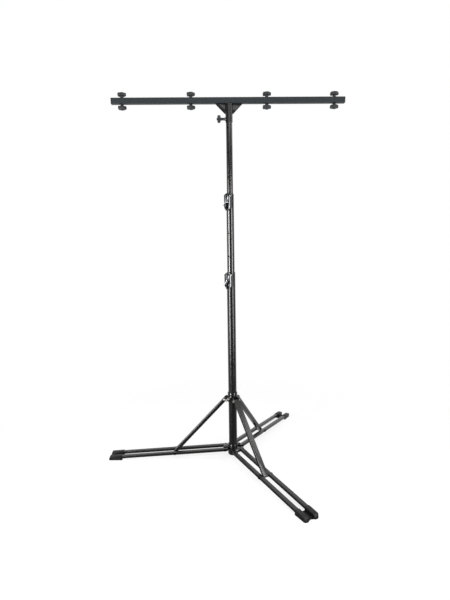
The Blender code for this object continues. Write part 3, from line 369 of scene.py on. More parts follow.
def draw_out(move, scale=(1, 1, 1), centre=(0, 0, 0)):
    """Extrudes what is selected by a move, then sizes its new end about a centre."""
    bpy.ops.mesh.extrude_region_move(TRANSFORM_OT_translate={"value": move})
    bpy.ops.transform.resize(value=scale, center_override=centre)


def settle(piece):
    """Puts a piece's place, turn and size into its mesh."""
    only(piece)
    bpy.ops.object.transform_apply(location=True, rotation=True, scale=True)
    return piece


def put(piece, matrix):
    piece.matrix_world = matrix @ piece.matrix_world
    return settle(piece)


def box(low, high):
    low = Vector(low)
    high = Vector(high)
    bpy.ops.object.select_all(action="DESELECT")
    bpy.ops.mesh.primitive_cube_add(size=1, location=(low + high) / 2, scale=high - low)
    return settle(bpy.context.object)


def bar(radius, start, end, vertices=SMALL_ROUND):
    """A round bar between two points."""
    start = Vector(start)
    end = Vector(end)
    bpy.ops.object.select_all(action="DESELECT")
    bpy.ops.mesh.primitive_cylinder_add(vertices=vertices, radius=radius, depth=(end - start).length)
    turn = Vector((0, 0, 1)).rotation_difference((end - start).normalized()).to_matrix().to_4x4()
    return put(bpy.context.object, Matrix.Translation((start + end) / 2) @ turn)


def turned(profile, vertices=ROUND, hollow=False):
    """A round piece drawn out ring by ring along (radius, z); a hollow one ends where it started."""
    radius, z = profile[0]
    bpy.ops.object.select_all(action="DESELECT")
    fill = "NOTHING" if hollow else "NGON"
    bpy.ops.mesh.primitive_circle_add(vertices=vertices, radius=radius, fill_type=fill)
    piece = put(bpy.context.object, shift(0, 0, z))
    bpy.ops.object.mode_set(mode="EDIT")
    bpy.ops.mesh.select_mode(type="VERT" if hollow else "FACE")
    bpy.ops.mesh.select_all(action="SELECT")
    rings = list(profile[1:])
    if hollow:
        rings.append(profile[0])
    for next_radius, next_z in rings:
        ratio = next_radius / radius
        draw_out((0, 0, next_z - z), (ratio, ratio, 1))
        radius, z = next_radius, next_z
    bpy.ops.mesh.select_all(action="SELECT")
    bpy.ops.mesh.remove_doubles(threshold=0.000002)
    bpy.ops.mesh.normals_make_consistent(inside=False)
    leave()
    return piece


def apply_modifier(piece, kind, **settings):
    only(piece)
    modifier = piece.modifiers.new(kind.lower(), kind)
    for key, value in settings.items():
        setattr(modifier, key, value)
    bpy.ops.object.modifier_apply(modifier=modifier.name)


def combine(piece, tool, operation):
    apply_modifier(piece, "BOOLEAN", operation=operation, solver="EXACT", object=tool)
    bpy.data.objects.remove(tool)
    return piece


def cut(piece, tool):
    return combine(piece, tool, "DIFFERENCE")


def join(piece, tool):
    return combine(piece, tool, "UNION")


def soften(piece, width, segments=3, angle=40):
    """Rounds every sharp edge of a piece."""
    limit = math.radians(angle)
    apply_modifier(piece, "BEVEL", width=width, segments=segments, limit_method="ANGLE", angle_limit=limit)
    return piece


def round_edges(piece, test, radius, segments):
    """Rounds the edges whose two ends pass a test."""
    pick(piece, "EDGE", test)
    bpy.ops.mesh.bevel(offset=radius, segments=segments, affect="EDGES")
    leave()


def round_along(piece, axis, radius, segments):
    """Rounds the edges that run along an axis."""
    round_edges(piece, lambda a, b: abs((b - a).normalized()[axis]) > FACING, radius, segments)


def trim(piece, point, normal):
    """Cuts off what lies outside a plane and closes the cut."""
    pick(piece, "FACE", lambda centre, facing: True)
    bpy.ops.mesh.bisect(plane_co=point, plane_no=normal, use_fill=True, clear_outer=True)
    leave()


def copy_of(piece):
    """A copy with its own mesh."""
    made = piece.copy()
    made.data = piece.data.copy()
    bpy.context.scene.collection.objects.link(made)
    return made


def discard(piece):
    bpy.data.objects.remove(piece)


def frame_at(radius, z, azimuth, tilt=0.0):
    """A place at a radius and height: X points outwards, and tilt turns it downwards."""
    return spin(azimuth, "Z") @ shift(radius, 0, z) @ spin(tilt, "Y")


def leg_azimuth(index):
    return BASE_TURN + 2 * math.pi * index / LEGS


def keep(piece, name, body, finish, nodes=(), smooth=35):
    """Names a finished piece, gives it its finish and seats it on the body that carries it."""
    settle(piece)
    bpy.ops.object.shade_smooth_by_angle(angle=math.radians(smooth))
    piece.name = name
    piece.data.name = name
    slot, material = FINISHES[finish]
    piece.data.materials.clear()
    piece.data.materials.append(material)
    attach(piece, body)
    for node in nodes:
        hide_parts(node)


# Finishes


def linear(hex_colour):
    """Linear colour of an sRGB hex value, with its alpha."""
    channels = [int(hex_colour[i : i + 2], 16) / 255 for i in (1, 3, 5)]
    return [c / 12.92 if c <= 0.04045 else ((c + 0.055) / 1.055) ** 2.4 for c in channels] + [1]


def per_mm(millimetres):
    """Texture scale at which features are about so many millimetres apart."""
    return 1000 / millimetres


def add_node(tree, kind, settings=None, values=None, links=None):
    """Adds a node with its settings, input values and links from other nodes' outputs."""
    node = tree.nodes.new(kind)
    for key, value in (settings or {}).items():
        setattr(node, key, value)
    for key, value in (values or {}).items():
        node.inputs[key].default_value = value
    for key, source in (links or {}).items():
        tree.links.new(source, node.inputs[key])
    return node


def new_material(name):
    """An empty material, with the coordinates that its patterns are fixed to."""
    material = bpy.data.materials.new(name)
    material.use_nodes = True
    tree = material.node_tree
    tree.nodes.clear()
    place = add_node(tree, "ShaderNodeTexCoord").outputs["Object"]
    return material, tree, place


def finish_surface(tree, values, gloss, tint=None, relief=None):
    """Wires patterns into a surface.

    gloss is a pattern, its span and the roughness at the span's ends, tint a pattern and its two colours,
    and relief a pattern, its strength and its height in metres.
    """
    pattern, span, roughness = gloss
    ends = {"From Min": span[0], "From Max": span[1], "To Min": roughness[0], "To Max": roughness[1]}
    spread = add_node(tree, "ShaderNodeMapRange", {}, ends, {"Value": pattern})
    links = {"Roughness": spread.outputs["Result"]}
    if tint:
        pattern, low, high = tint
        mixed = add_node(tree, "ShaderNodeMix", {"data_type": "RGBA"}, {6: low, 7: high}, {0: pattern})
        links["Base Color"] = mixed.outputs[2]
    if relief:
        pattern, strength, height = relief
        depth = {"Strength": strength, "Distance": height}
        links["Normal"] = add_node(tree, "ShaderNodeBump", {}, depth, {"Height": pattern}).outputs["Normal"]
    shader = add_node(tree, "ShaderNodeBsdfPrincipled", {}, values, links)
    add_node(tree, "ShaderNodeOutputMaterial", links={"Surface": shader.outputs["BSDF"]})


def powder_coat(name, colour, gloss, specular):
    # Polyester powder baked on steel: black, broad changes of gloss, and the bake's orange peel every 3 mm
    material, tree, place = new_material(name)
    patches = add_node(tree, "ShaderNodeTexNoise", {}, {"Scale": per_mm(80), "Detail": 4}, {"Vector": place})
    peel = add_node(tree, "ShaderNodeTexNoise", {}, {"Scale": per_mm(3), "Detail": 1}, {"Vector": place})
    finish_surface(
        tree,
        {"Base Color": colour, "Specular IOR Level": specular},
        (patches.outputs["Fac"], CLOUDY, gloss),
        relief=(peel.outputs["Fac"], 0.8, 0.00001),
    )
    return material


def rubbed_powder_coat(name, colour, worn):
    # The same powder on tubes that slide through a guide: upright scuffs 1.2 mm apart, paler and duller
    material, tree, place = new_material(name)
    drawn = add_node(tree, "ShaderNodeMapping", {}, {"Scale": (1.0, 1.0, 0.02)}, {"Vector": place})
    grain = {"Scale": per_mm(1.2), "Detail": 3}
    scuffs = add_node(tree, "ShaderNodeTexNoise", {}, grain, {"Vector": drawn.outputs["Vector"]})
    scuffs = scuffs.outputs["Fac"]
    wear = add_node(tree, "ShaderNodeMapRange", {}, {"From Min": 0.52, "From Max": 0.75}, {"Value": scuffs})
    wear = wear.outputs["Result"]
    finish_surface(
        tree,
        {"Specular IOR Level": 0.8},
        (wear, WHOLE, (0.17, 0.26)),
        (wear, colour, worn),
        (scuffs, 0.5, 0.000006),
    )
    return material


def cast_enamel(name, colour):
    # Black enamel on an aluminium casting: the mould's grain, 1.5 mm across, shows softly through the paint
    material, tree, place = new_material(name)
    grain = add_node(tree, "ShaderNodeTexNoise", {}, {"Scale": per_mm(1.5), "Detail": 4}, {"Vector": place})
    patches = add_node(tree, "ShaderNodeTexNoise", {}, {"Scale": per_mm(20), "Detail": 2}, {"Vector": place})
    finish_surface(
        tree,
        {"Base Color": colour, "Specular IOR Level": 0.5},
        (patches.outputs["Fac"], CLOUDY, (0.12, 0.22)),
        relief=(grain.outputs["Fac"], 0.6, 0.00002),
    )
    return material


def moulded_nylon(name, colour, pale, grain_mm):
    # Glass-filled nylon from a spark-eroded mould: an even grain, with paler flow marks about 18 mm long
    material, tree, place = new_material(name)
    flow = add_node(tree, "ShaderNodeTexNoise", {}, {"Scale": per_mm(18), "Detail": 4}, {"Vector": place})
    flow = flow.outputs["Fac"]
    marks = add_node(tree, "ShaderNodeMapRange", {}, {"From Min": 0.4, "From Max": 0.65}, {"Value": flow})
    pores = {"Scale": per_mm(grain_mm), "Detail": 2}
    grain = add_node(tree, "ShaderNodeTexNoise", {}, pores, {"Vector": place})
    finish_surface(
        tree,
        {"Specular IOR Level": 0.35},
        (flow, WHOLE, (0.42, 0.56)),
        (marks.outputs["Result"], colour, pale),
        (grain.outputs["Fac"], 0.5, 0.00003),
    )
    return material


def foot_rubber(name, colour, dust):
    # Moulded rubber: matt and black, with floor dust held in its 1 mm grain
    material, tree, place = new_material(name)
    grain = add_node(tree, "ShaderNodeTexNoise", {}, {"Scale": per_mm(1), "Detail": 3}, {"Vector": place})
    smudges = add_node(tree, "ShaderNodeTexNoise", {}, {"Scale": per_mm(20), "Detail": 4}, {"Vector": place})
    thick = {"From Min": 0.5, "From Max": 0.75}
    held = add_node(tree, "ShaderNodeMapRange", {}, thick, {"Value": smudges.outputs["Fac"]})
    held = held.outputs["Result"]
    finish_surface(
        tree,
        {"Specular IOR Level": 0.2},
        (held, WHOLE, (0.40, 0.60)),
        (held, colour, dust),
        (grain.outputs["Fac"], 0.5, 0.00008),
    )
    return material


def chrome_plate(name, colour, gloss):
    # Chrome over polished steel: mirror bright, dulled a little in finger smears about 12 mm apart
    material, tree, place = new_material(name)
    smear = {"Scale": per_mm(12), "Detail": 4, "Distortion": 1}
    smears = add_node(tree, "ShaderNodeTexNoise", {}, smear, {"Vector": place})
    finish_surface(tree, {"Base Color": colour, "Metallic": 1}, (smears.outputs["Fac"], CLOUDY, gloss))
    return material


def zinc_plate(name, colour, aged):
    # Zinc plate on steel fasteners: soft shine in crystals about 1.5 mm across, some of them yellower
    material, tree, place = new_material(name)
    crystals = add_node(tree, "ShaderNodeTexVoronoi", {}, {"Scale": per_mm(1.5)}, {"Vector": place})
    depth = crystals.outputs["Distance"]
    finish_surface(
        tree,
        {"Metallic": 1},
        (depth, WHOLE, (0.28, 0.42)),
        (depth, colour, aged),
        (depth, 0.4, 0.00001),
    )
    return material


FINISHES = {}


def make_finishes(colours):
    """Fills the table of finishes: the record's slot and the material of each."""
    tone = {key: linear(getattr(colours, key)) for key in StandColours.__annotations__}
    coat, knob = tone["coat"], tone["knob"]
    FINISHES.update(
        coat=("black_powder_coat", powder_coat("gloss_black_powder_coat", coat, (0.20, 0.30), 0.5)),
        bar=("black_powder_coat", powder_coat("satin_black_powder_coat", tone["bar"], (0.40, 0.52), 0.22)),
        weld=("black_powder_coat", powder_coat("powder_coated_weld", coat, (0.26, 0.40), 0.5)),
        rubbed=("black_powder_coat", rubbed_powder_coat("rubbed_powder_coat", coat, tone["worn"])),
        cast=("black_powder_coat", cast_enamel("black_enamelled_casting", coat)),
        knob=("knob_plastic", moulded_nylon("glass_filled_nylon", knob, tone["knob_pale"], 0.9)),
        plastic=("black_moulded_plastic", moulded_nylon("black_moulded_nylon", tone["moulded"], knob, 1.2)),
        rubber=("foot_rubber", foot_rubber("black_moulded_rubber", tone["rubber"], tone["dust"])),
        chrome=("chromed_steel", chrome_plate("bright_chromed_steel", tone["chrome"], (0.08, 0.20))),
        lever=("chromed_steel", chrome_plate("black_chromed_steel", tone["dark_chrome"], (0.08, 0.14))),
        zinc=("zinc_plated_steel", zinc_plate("bright_zinc_plate", tone["zinc"], tone["old_zinc"])),
        bolt=("zinc_plated_steel", zinc_plate("black_zinc_plate", tone["black_zinc"], coat)),
    )


# The stand's pieces


def along(start, profile):
    """A turned profile whose heights are measured from a start."""
    return [(radius, start + z) for radius, z in profile]


def lock_hole(piece, start, end, z):
    """Drills the index pin's hole outwards through a wall."""
    cut(piece, put(bar(HOLE_RADIUS, (start, 0, z), (end, 0, z)), spin(LOCK_AZIMUTH, "Z")))


def bore(piece, radius, low, high):
    """Bores a piece through along the mast."""
    cut(piece, bar(radius, (0, 0, low - PAST), (0, 0, high + PAST), ROUND))


def drill_across(piece, radius, x, z=0.0):
    """Drills a piece through along Y."""
    cut(piece, bar(radius, (x, -PAST, z), (x, PAST, z)))


def mast_tube(name, size, holes_at, body, node, finish):
    """A round tube with rounded rims and its lock holes."""
    radius, bottom, top = size
    rim = sizes().rim
    inner = radius - WALL
    profile = [
        (inner + rim, bottom), (radius - rim, bottom), (radius, bottom + rim), (radius, top - rim),
        (radius - rim, top), (inner + rim, top), (inner, top - rim), (inner, bottom + rim),
    ]
    tube = turned(profile, hollow=True)
    for z in holes_at:
        lock_hole(tube, radius / 2, 2 * radius, z)
    keep(tube, name, body, finish, [node])


def lock_holes(middle, down, up):
    """Heights of the lock holes, so many under and over a middle one."""
    return [middle + HOLE_STEP * step for step in range(-down, up + 1)]


def tube_guide(name, size, inner_radius, body, node):
    """Plastic guide in a tube's mouth with a rounded flange."""
    radius, _, top = size
    inner = inner_radius + SLIDE_GAP
    outer = radius - WALL - SEAT_GAP
    low = top + SEAT_GAP
    high = low + BUSH_FLANGE
    lead = BUSH_FLANGE / 2
    edge, corner = 0.8 * lead, 0.25 * lead
    profile = [
        (inner, top - BUSH_DEPTH), (outer, top - BUSH_DEPTH), (outer, low), (radius, low),
        (radius, high - edge), (radius - corner, high - corner), (radius - edge, high),
        (inner + lead, high), (inner, high - lead),
    ]
    guide = turned(profile, hollow=True)
    lock_hole(guide, inner / 2, 2 * radius, top - LOCK_DROP)
    keep(guide, name, body, "plastic", [node])


def lock_casting(prefix, radius, place, body):
    """Saddle casting with an open channel for the lever between its cheeks."""
    half = HOUSING_HALF_SHARE * radius
    outer = radius + HOUSING_DEPTH
    shell = box((HOUSING_BACK, -half, HOUSING_LOW), (outer, half, HOUSING_TOP))
    round_along(shell, 0, FULL * half, 12)
    low = (radius + CHANNEL_BACK, -CHANNEL_HALF, 2 * HOUSING_LOW)
    channel = box(low, (2 * outer, CHANNEL_HALF, CHANNEL_TOP))

    def along_top(a, b):
        return min(a.z, b.z) > CHANNEL_TOP - LEVEL and abs(a.y - b.y) < LEVEL

    round_edges(channel, along_top, CHANNEL_ROUND, 6)
    cut(shell, channel)
    cut(shell, bar(radius + SEAT_GAP, (0, 0, -2 * PAST), (0, 0, 2 * PAST), ROUND))
    cut(shell, bar(HOLE_RADIUS, (radius / 2, 0, 0), (outer, 0, 0)))
    x = radius + LEVER_OUT
    cut(shell, bar(AXLE_HOLE, (x, -2 * half, LEVER_UP), (x, 2 * half, LEVER_UP)))
    soften(shell, sizes().cast_edge, segments=3, angle=50)
    keep(put(shell, place), prefix + "_saddle_casting", body, "cast", [prefix + "_lock_housing"])


def lever_rivet(prefix, radius, place, body):
    """Axle with domed rivet heads outside the cheeks."""
    half = HOUSING_HALF_SHARE * radius
    x = radius + LEVER_OUT
    end = half + AXLE_PROUD
    shaft = bar(AXLE_RADIUS, (x, -end, LEVER_UP), (x, end, LEVER_UP))
    for side in (-1, 1):
        face = shift(x, side * (half + SEAT_GAP), LEVER_UP)
        join(shaft, put(turned(RIVET, SMALL_ROUND), face @ spin(-side * QUARTER, "X")))
    keep(put(shaft, place), prefix + "_lever_rivet", body, "chrome", [prefix + "_lock_axle"])


def thumb_lever(prefix, radius, place):
    """Pressed lever drawn down from its eye, with a tail that kicks out for the thumb."""
    x = radius + LEVER_OUT
    low = (x + LEVER_BACK, -LEVER_HALF, LEVER_START)
    plate = box(low, (x + LEVER_FRONT, LEVER_HALF, LEVER_TOP))
    pick(plate, "FACE", lambda centre, normal: normal.z < -FACING)
    z, out = LEVER_START, 0.0
    for next_z, share in LEVER_TAIL:
        kick = share * sizes().kick
        draw_out((kick - out, 0, next_z - z))
        z, out = next_z, kick
    bpy.ops.transform.resize(value=(1, TAIL_TAPER, 1), center_override=(x, 0, z))
    leave()
    join(plate, bar(LEVER_EYE, (x, -LEVER_EYE_HALF, LEVER_UP), (x, LEVER_EYE_HALF, LEVER_UP)))
    drill_across(plate, AXLE_HOLE, x, LEVER_UP)
    cut(plate, bar(LEVER_WINDOW, (x - PAST, 0, 0), (x + PAST, 0, 0)))
    soften(plate, sizes().plate_edge, segments=2, angle=40)
    name = prefix + "_thumb_lever"
    keep(put(plate, place), name, prefix + "_lever", "lever", [prefix + "_lock_lever"])


def pin_head_start(radius):
    return radius + LEVER_OUT + LEVER_FRONT + SEAT_GAP


def rod_pivot(radius):
    return pin_head_start(radius) + PIN_HEAD + PIN_PAST_HEAD - ROD_EYE


def spring_pin(prefix, radius, inner_radius, place):
    """Index pin with a knurled collar and a forked end."""
    head = pin_head_start(radius)
    end = head + PIN_HEAD + PIN_PAST_HEAD
    profile = along(inner_radius + PIN_TIP_GAP, PIN_NOSE) + along(head, PIN_COLLAR) + along(end, PIN_END)
    pin = turned(profile, 2 * KNURL_RIDGES)

    def every_other_ridge(co):
        ridge = round(math.atan2(co.y, co.x) * KNURL_RIDGES / math.pi)
        return math.hypot(co.x, co.y) > KNURL - SLIDE_GAP and ridge % 2

    pick(pin, "VERT", every_other_ridge)
    bpy.ops.transform.resize(value=(KNURL_VALLEY, KNURL_VALLEY, 1), center_override=(0, 0, 0))
    leave()
    put(pin, spin(QUARTER, "Y"))
    cross = rod_pivot(radius)
    cut(pin, box((cross - ROD_EYE - SEAT_GAP, -FORK_HALF, -PAST), (2 * end, FORK_HALF, PAST)))
    join(pin, bar(FORK_PIN, (cross, -FORK_PIN_HALF, 0), (cross, FORK_PIN_HALF, 0)))
    keep(put(pin, place), prefix + "_spring_pin", prefix + "_pin", "chrome", [prefix + "_index_pin"])


def pull_rod(prefix, radius, place):
    """Slim pull rod with a flat eye and a flared grip."""
    eye = bar(ROD_EYE, (0, -ROD_EYE_HALF, 0), (0, ROD_EYE_HALF, 0))
    join(eye, box(*ROD_NECK))
    join(eye, put(turned(ROD, SMALL_ROUND), spin(QUARTER, "Y")))
    drill_across(eye, ROD_EYE_HOLE, 0)
    soften(eye, ROD_EDGE, segments=2, angle=50)
    droop = shift(rod_pivot(radius), 0, 0) @ spin(ROD_DROOP, "Y")
    name = prefix + "_pull_rod"
    keep(put(eye, place @ droop), name, prefix + "_toggle", "chrome", [prefix + "_pull_toggle"])


def crossbar():
    """Square tube with drawn corners, drilled for four studs."""
    half = BAR_SIDE / 2
    corner = sizes().bar_corner
    outer = box((-BAR_HALF, -half, -half), (BAR_HALF, half, half))
    round_along(outer, 0, corner, 5)
    inside = half - WALL
    hollow = box((-2 * BAR_HALF, -inside, -inside), (2 * BAR_HALF, inside, inside))
    round_along(hollow, 0, corner / 2, 3)
    cut(outer, hollow)
    for x in KNOB_STATIONS:
        cut(outer, bar(STUD_HOLE, (x, 0, -PAST), (x, 0, PAST)))
    keep(put(outer, shift(0, 0, BAR_Z)), "square_crossbar", "tbar", "bar", ["crossbar"])


def end_plugs():
    """Pillowed plastic plugs in the bar's ends, with hollow spigots."""
    half = BAR_SIDE / 2
    start = BAR_HALF + SEAT_GAP
    face = start + CAP - PILLOW
    plug = box((start, -half, -half), (face, half, half))
    round_along(plug, 0, sizes().bar_corner, 5)
    pick(plug, "FACE", lambda centre, normal: normal.x > FACING)
    for step, size in CROWN_STEPS:
        draw_out((step, 0, 0), (1, size, size), (face, 0, 0))
    leave()
    pick(plug, "FACE", lambda centre, normal: normal.x < -FACING)
    for step, size in ((0, (half - WALL - SEAT_GAP) / half), *SPIGOT_STEPS):
        draw_out((step, 0, 0), (1, size, size), (start, 0, 0))
    leave()
    left = copy_of(plug)
    up = shift(0, 0, BAR_Z)
    keep(put(plug, up), "end_plug_right", "tbar", "plastic", ["bar_end_cap_right"])
    keep(put(left, up @ spin(math.pi, "Z")), "end_plug_left", "tbar", "plastic", ["bar_end_cap_left"])


def weld_bead(length, radius, place, name):
    """A rippled bead along Z from the place's origin."""
    count = round(length / WELD_RIPPLE)
    profile = [(radius * WELD_TAPER, 0)]
    for step in range(1, count):
        profile.append((radius * (1 if step % 2 else WELD_WAIST), length * step / count))
    profile.append((radius * WELD_TAPER, length))
    keep(put(turned(profile, BEAD_ROUND), place), name, "tbar", "weld", smooth=80)


def gusset(side):
    """One three-cornered plate with a blunt toe at each end of its slope."""
    low_z = SLEEVE_TOP - GUSSET
    ends = (side * SLEEVE_RADIUS / 2, side * (SLEEVE_RADIUS + GUSSET))
    plate = box((min(ends), -GUSSET_HALF, low_z), (max(ends), GUSSET_HALF, SLEEVE_TOP))
    run = GUSSET - GUSSET_TOE
    trim(plate, (side * (SLEEVE_RADIUS + GUSSET_TOE), 0, low_z), (side * run, 0, -run))
    return soften(plate, sizes().plate_edge, segments=2)


def bar_socket():
    """Socket with two welded gussets and the boss of its clamp knob."""
    rim = sizes().rim
    profile = [
        (SLEEVE_BORE + rim, SLEEVE_BOTTOM), (SLEEVE_RADIUS - rim, SLEEVE_BOTTOM),
        (SLEEVE_RADIUS, SLEEVE_BOTTOM + rim), (SLEEVE_RADIUS, SLEEVE_TOP), (SLEEVE_BORE, SLEEVE_TOP),
        (SLEEVE_BORE, SLEEVE_BOTTOM + rim),
    ]
    socket = turned(profile, hollow=True)
    for side in (-1, 1):
        join(socket, gusset(side))
    left = shift(0, 0, SLEEVE_KNOB_Z) @ spin(-QUARTER, "Y")
    join(socket, put(turned(BOSS, MEDIUM_ROUND), left))
    cut(socket, bar(STUD_HOLE, (-SLEEVE_BORE / 2, 0, SLEEVE_KNOB_Z), (-PAST, 0, SLEEVE_KNOB_Z)))
    bore(socket, SLEEVE_BORE, SLEEVE_BOTTOM, SLEEVE_TOP)
    keep(socket, "bar_socket", "tbar", "coat", ["tbar_sleeve"])


def socket_welds():
    """Beads on both faces of each gusset, up the socket and along the bar."""
    bead = sizes().bead
    number = 0
    for side in (-1, 1):
        for face in (-1, 1):
            number += 1
            y = face * GUSSET_HALF
            foot = shift(side * (SLEEVE_RADIUS - WELD_SINK), y, SLEEVE_TOP - GUSSET + WELD_SHORT)
            weld_bead(GUSSET - 2 * WELD_SHORT, bead, foot, f"gusset_weld_{number}")
            corner = shift(side * BAR_WELD_START, y, SLEEVE_TOP - BAR_WELD_DROP) @ spin(side * QUARTER, "Y")
            weld_bead(GUSSET - BAR_WELD_SHORT, BAR_WELD_SHARE * bead, corner, f"bar_weld_{number}")


def star_knob(radius, neck, neck_radius):
    """Five-lobed knob drawn out from its seat ring by ring, then pressed in between its lobes."""
    top = neck + sizes().grip
    dish = sizes().dish
    cap = 1.06 * neck_radius
    profile = [
        # Neck
        (0.94 * neck_radius, 0), (neck_radius, 0.0006), (neck_radius, 0.60 * neck),
        (1.10 * neck_radius, 0.84 * neck), (1.32 * neck_radius, neck),
        # Grip with its rounded edges
        (0.80 * radius, neck), (0.92 * radius, neck + 0.0005), (0.98 * radius, neck + 0.0016),
        (radius, neck + 0.0034), (radius, top - 0.0044), (0.98 * radius, top - 0.0022),
        (0.93 * radius, top - 0.0007), (0.85 * radius, top),
        # Dish and cap
        (0.70 * radius, top - 0.3 * dish), (1.16 * cap, top - dish), (cap, top - dish),
        (0.98 * cap, top + 0.0010), (0.90 * cap, top + 0.0022), (0.72 * cap, top + 0.0034),
        (0.44 * cap, top + 0.0042), (0.10 * cap, top + 0.0045),
    ]
    knob = turned(profile, KNOB_ROUND)
    per_lobe = KNOB_ROUND // LOBES
    half_lobe = per_lobe // 2

    def from_crest(co):
        step = round(math.atan2(co.y, co.x) / (2 * math.pi) * KNOB_ROUND) % per_lobe
        return min(step, per_lobe - step)

    def in_grip(co, step):
        return math.hypot(co.x, co.y) > 0.6 * radius and from_crest(co) == step

    for step in range(1, half_lobe + 1):
        depth = sizes().valley * (0.5 - 0.5 * math.cos(math.pi * step / half_lobe)) ** 1.5
        ratio = 1 - depth / radius
        pick(knob, "VERT", lambda co, step=step: in_grip(co, step))
        bpy.ops.transform.resize(value=(ratio, ratio, 1), center_override=(0, 0, 0))
        leave()
    return knob


def stud(reach, root):
    """Stud with a chamfered tip, from below a knob's seat up into the knob."""
    return turned([(STUD_TIP, -reach), (STUD_RADIUS, STUD_CHAMFER - reach), (STUD_RADIUS, root)], SMALL_ROUND)


def fixture_knobs():
    """Eight knobs, one over and one under the bar at each station, and the studs that join them."""
    model = star_knob(sizes().knob, *FIXTURE_NECK)
    bored = copy_of(model)
    cut(bored, bar(STUD_HOLE, (0, 0, -NUT_LEAD), (0, 0, NUT_DEPTH)))
    seat = BAR_SIDE / 2 + SEAT_GAP
    for number, x in enumerate(KNOB_STATIONS, 1):
        for word, sign, pattern in (("upper", 1, model), ("lower", -1, bored)):
            place = shift(x, 0, BAR_Z + sign * seat) @ spin(0 if sign > 0 else math.pi, "X")
            name = f"knob_{number}_{word}"
            keep(put(copy_of(pattern), place), f"star_{name}", name, "knob", [f"fixture_{name}"])
        over = shift(x, 0, BAR_Z + seat)
        keep(put(stud(*FIXTURE_STUD), over), f"knob_stud_{number}", f"knob_{number}_upper", "bolt")
    discard(model)
    discard(bored)


def sleeve_knob():
    """Knob that clamps the socket, on its own screw."""
    left = shift(-BOSS_END - SEAT_GAP, 0, SLEEVE_KNOB_Z) @ spin(-QUARTER, "Y")
    knob = put(star_knob(sizes().small_knob, *SLEEVE_NECK), left)
    keep(knob, "sleeve_star_knob", "tbar_knob", "knob", ["sleeve_knob"])
    keep(put(stud(*SLEEVE_STUD), left), "sleeve_knob_screw", "tbar_knob", "bolt")


def hub_casting():
    """Hub sleeve with a rounded tongue for each leg."""
    profile = [
        (HUB_RADIUS - 0.0010, HUB_BOTTOM), (HUB_RADIUS, HUB_BOTTOM + 0.0010),
        (HUB_RADIUS, HUB_TOP - 0.0016), (HUB_RADIUS - 0.0006, HUB_TOP - 0.0005),
        (HUB_RADIUS - 0.0016, HUB_TOP),
    ]
    hub = turned(profile)
    x, z = LEG_PIVOT
    for index in range(LEGS):
        low = (LUG_RADIUS, -BETWEEN_RAILS, z - LUG_RADIUS)
        tongue = box(low, (x + LUG_RADIUS, BETWEEN_RAILS, z + LUG_RADIUS))
        round_edges(tongue, lambda a, b: min(a.x, b.x) > x and abs(a.z - b.z) < LEVEL, FULL * LUG_RADIUS, 10)
        drill_across(tongue, BOLT_HOLE, x, z)
        soften(tongue, sizes().cast_edge, segments=2, angle=60)
        join(hub, put(tongue, spin(leg_azimuth(index), "Z")))
    bore(hub, LOWER[0] + SEAT_GAP, HUB_BOTTOM, HUB_TOP)
    keep(hub, "hub_casting", "mast_base", "cast", ["base_hub"])


def mast_plug():
    """Moulded plug that closes the mast's foot."""
    outer = LOWER[0] - WALL - SEAT_GAP
    stem = [(outer, PLUG_FLANGE_TOP), (outer, PLUG_TOP - PLUG_EDGE), (outer - PLUG_EDGE, PLUG_TOP)]
    plug = turned(PLUG_FLANGE + stem)
    cut(plug, bar(outer - PLUG_WALL, (0, 0, PLUG_FLANGE_TOP), (0, 0, PLUG_TOP + PAST), ROUND))
    keep(plug, "mast_foot_plug", "mast_base", "plastic", ["bottom_plug"])


def section_tube(start, end, width, height, y=0.0):
    """Rectangular tube along X with rounded corners."""
    corner = sizes().rail_corner
    tube = box((start, y - width / 2, -height / 2), (end, y + width / 2, height / 2))
    round_along(tube, 0, corner, 4)
    low = (start - PAST, y - width / 2 + WALL, -height / 2 + WALL)
    hollow = box(low, (end + PAST, y + width / 2 - WALL, height / 2 - WALL))
    round_along(hollow, 0, corner / 3, 2)
    return cut(tube, hollow)


def leg_rails():
    """Two rails for each leg, drilled for the hub's bolt and the brace's screw."""
    for index in range(LEGS):
        place = frame_at(*LEG_PIVOT, leg_azimuth(index), LEG_SLOPE)
        for side, word in ((-1, "right"), (1, "left")):
            rail = section_tube(RAIL_START, RAIL_END, RAIL_WIDTH, RAIL_HEIGHT, side * RAIL_Y)
            for x in (0, STRUT_ON_LEG):
                cut(rail, bar(BOLT_HOLE, (x, side * RAIL_DRILL[0], 0), (x, side * RAIL_DRILL[1], 0)))
            body = f"leg_{index + 1}"
            keep(put(rail, place), f"{body}_{word}_rail_tube", body, "coat", [f"{body}_rail_{word}"])


def double_shoes():
    """Double shoes: the moulding's edges are rounded and its sole is grooved across."""
    floor = FLOOR_Z - LEG_PIVOT[1]
    for index in range(LEGS):
        node = f"foot_{index + 1}"
        shoe = copy_of(frame["nodes"][node])
        place = frame_at(*LEG_PIVOT, leg_azimuth(index))
        put(shoe, place.inverted())
        bpy.ops.object.mode_set(mode="EDIT")
        bpy.ops.mesh.select_all(action="SELECT")
        bpy.ops.mesh.remove_doubles(threshold=LEVEL)
        bpy.ops.mesh.dissolve_limited(angle_limit=math.radians(2))
        leave()
        soften(shoe, sizes().shoe_edge, segments=3, angle=30)
        for groove in range(GROOVES):
            x = GROOVE_START + GROOVE_STEP * groove
            cut(shoe, box((x, -PAST, floor - PAST), (x + GROOVE_WIDTH, PAST, floor + sizes().groove)))
        keep(put(shoe, place), f"double_shoe_{index + 1}", f"leg_{index + 1}", "rubber", [node])


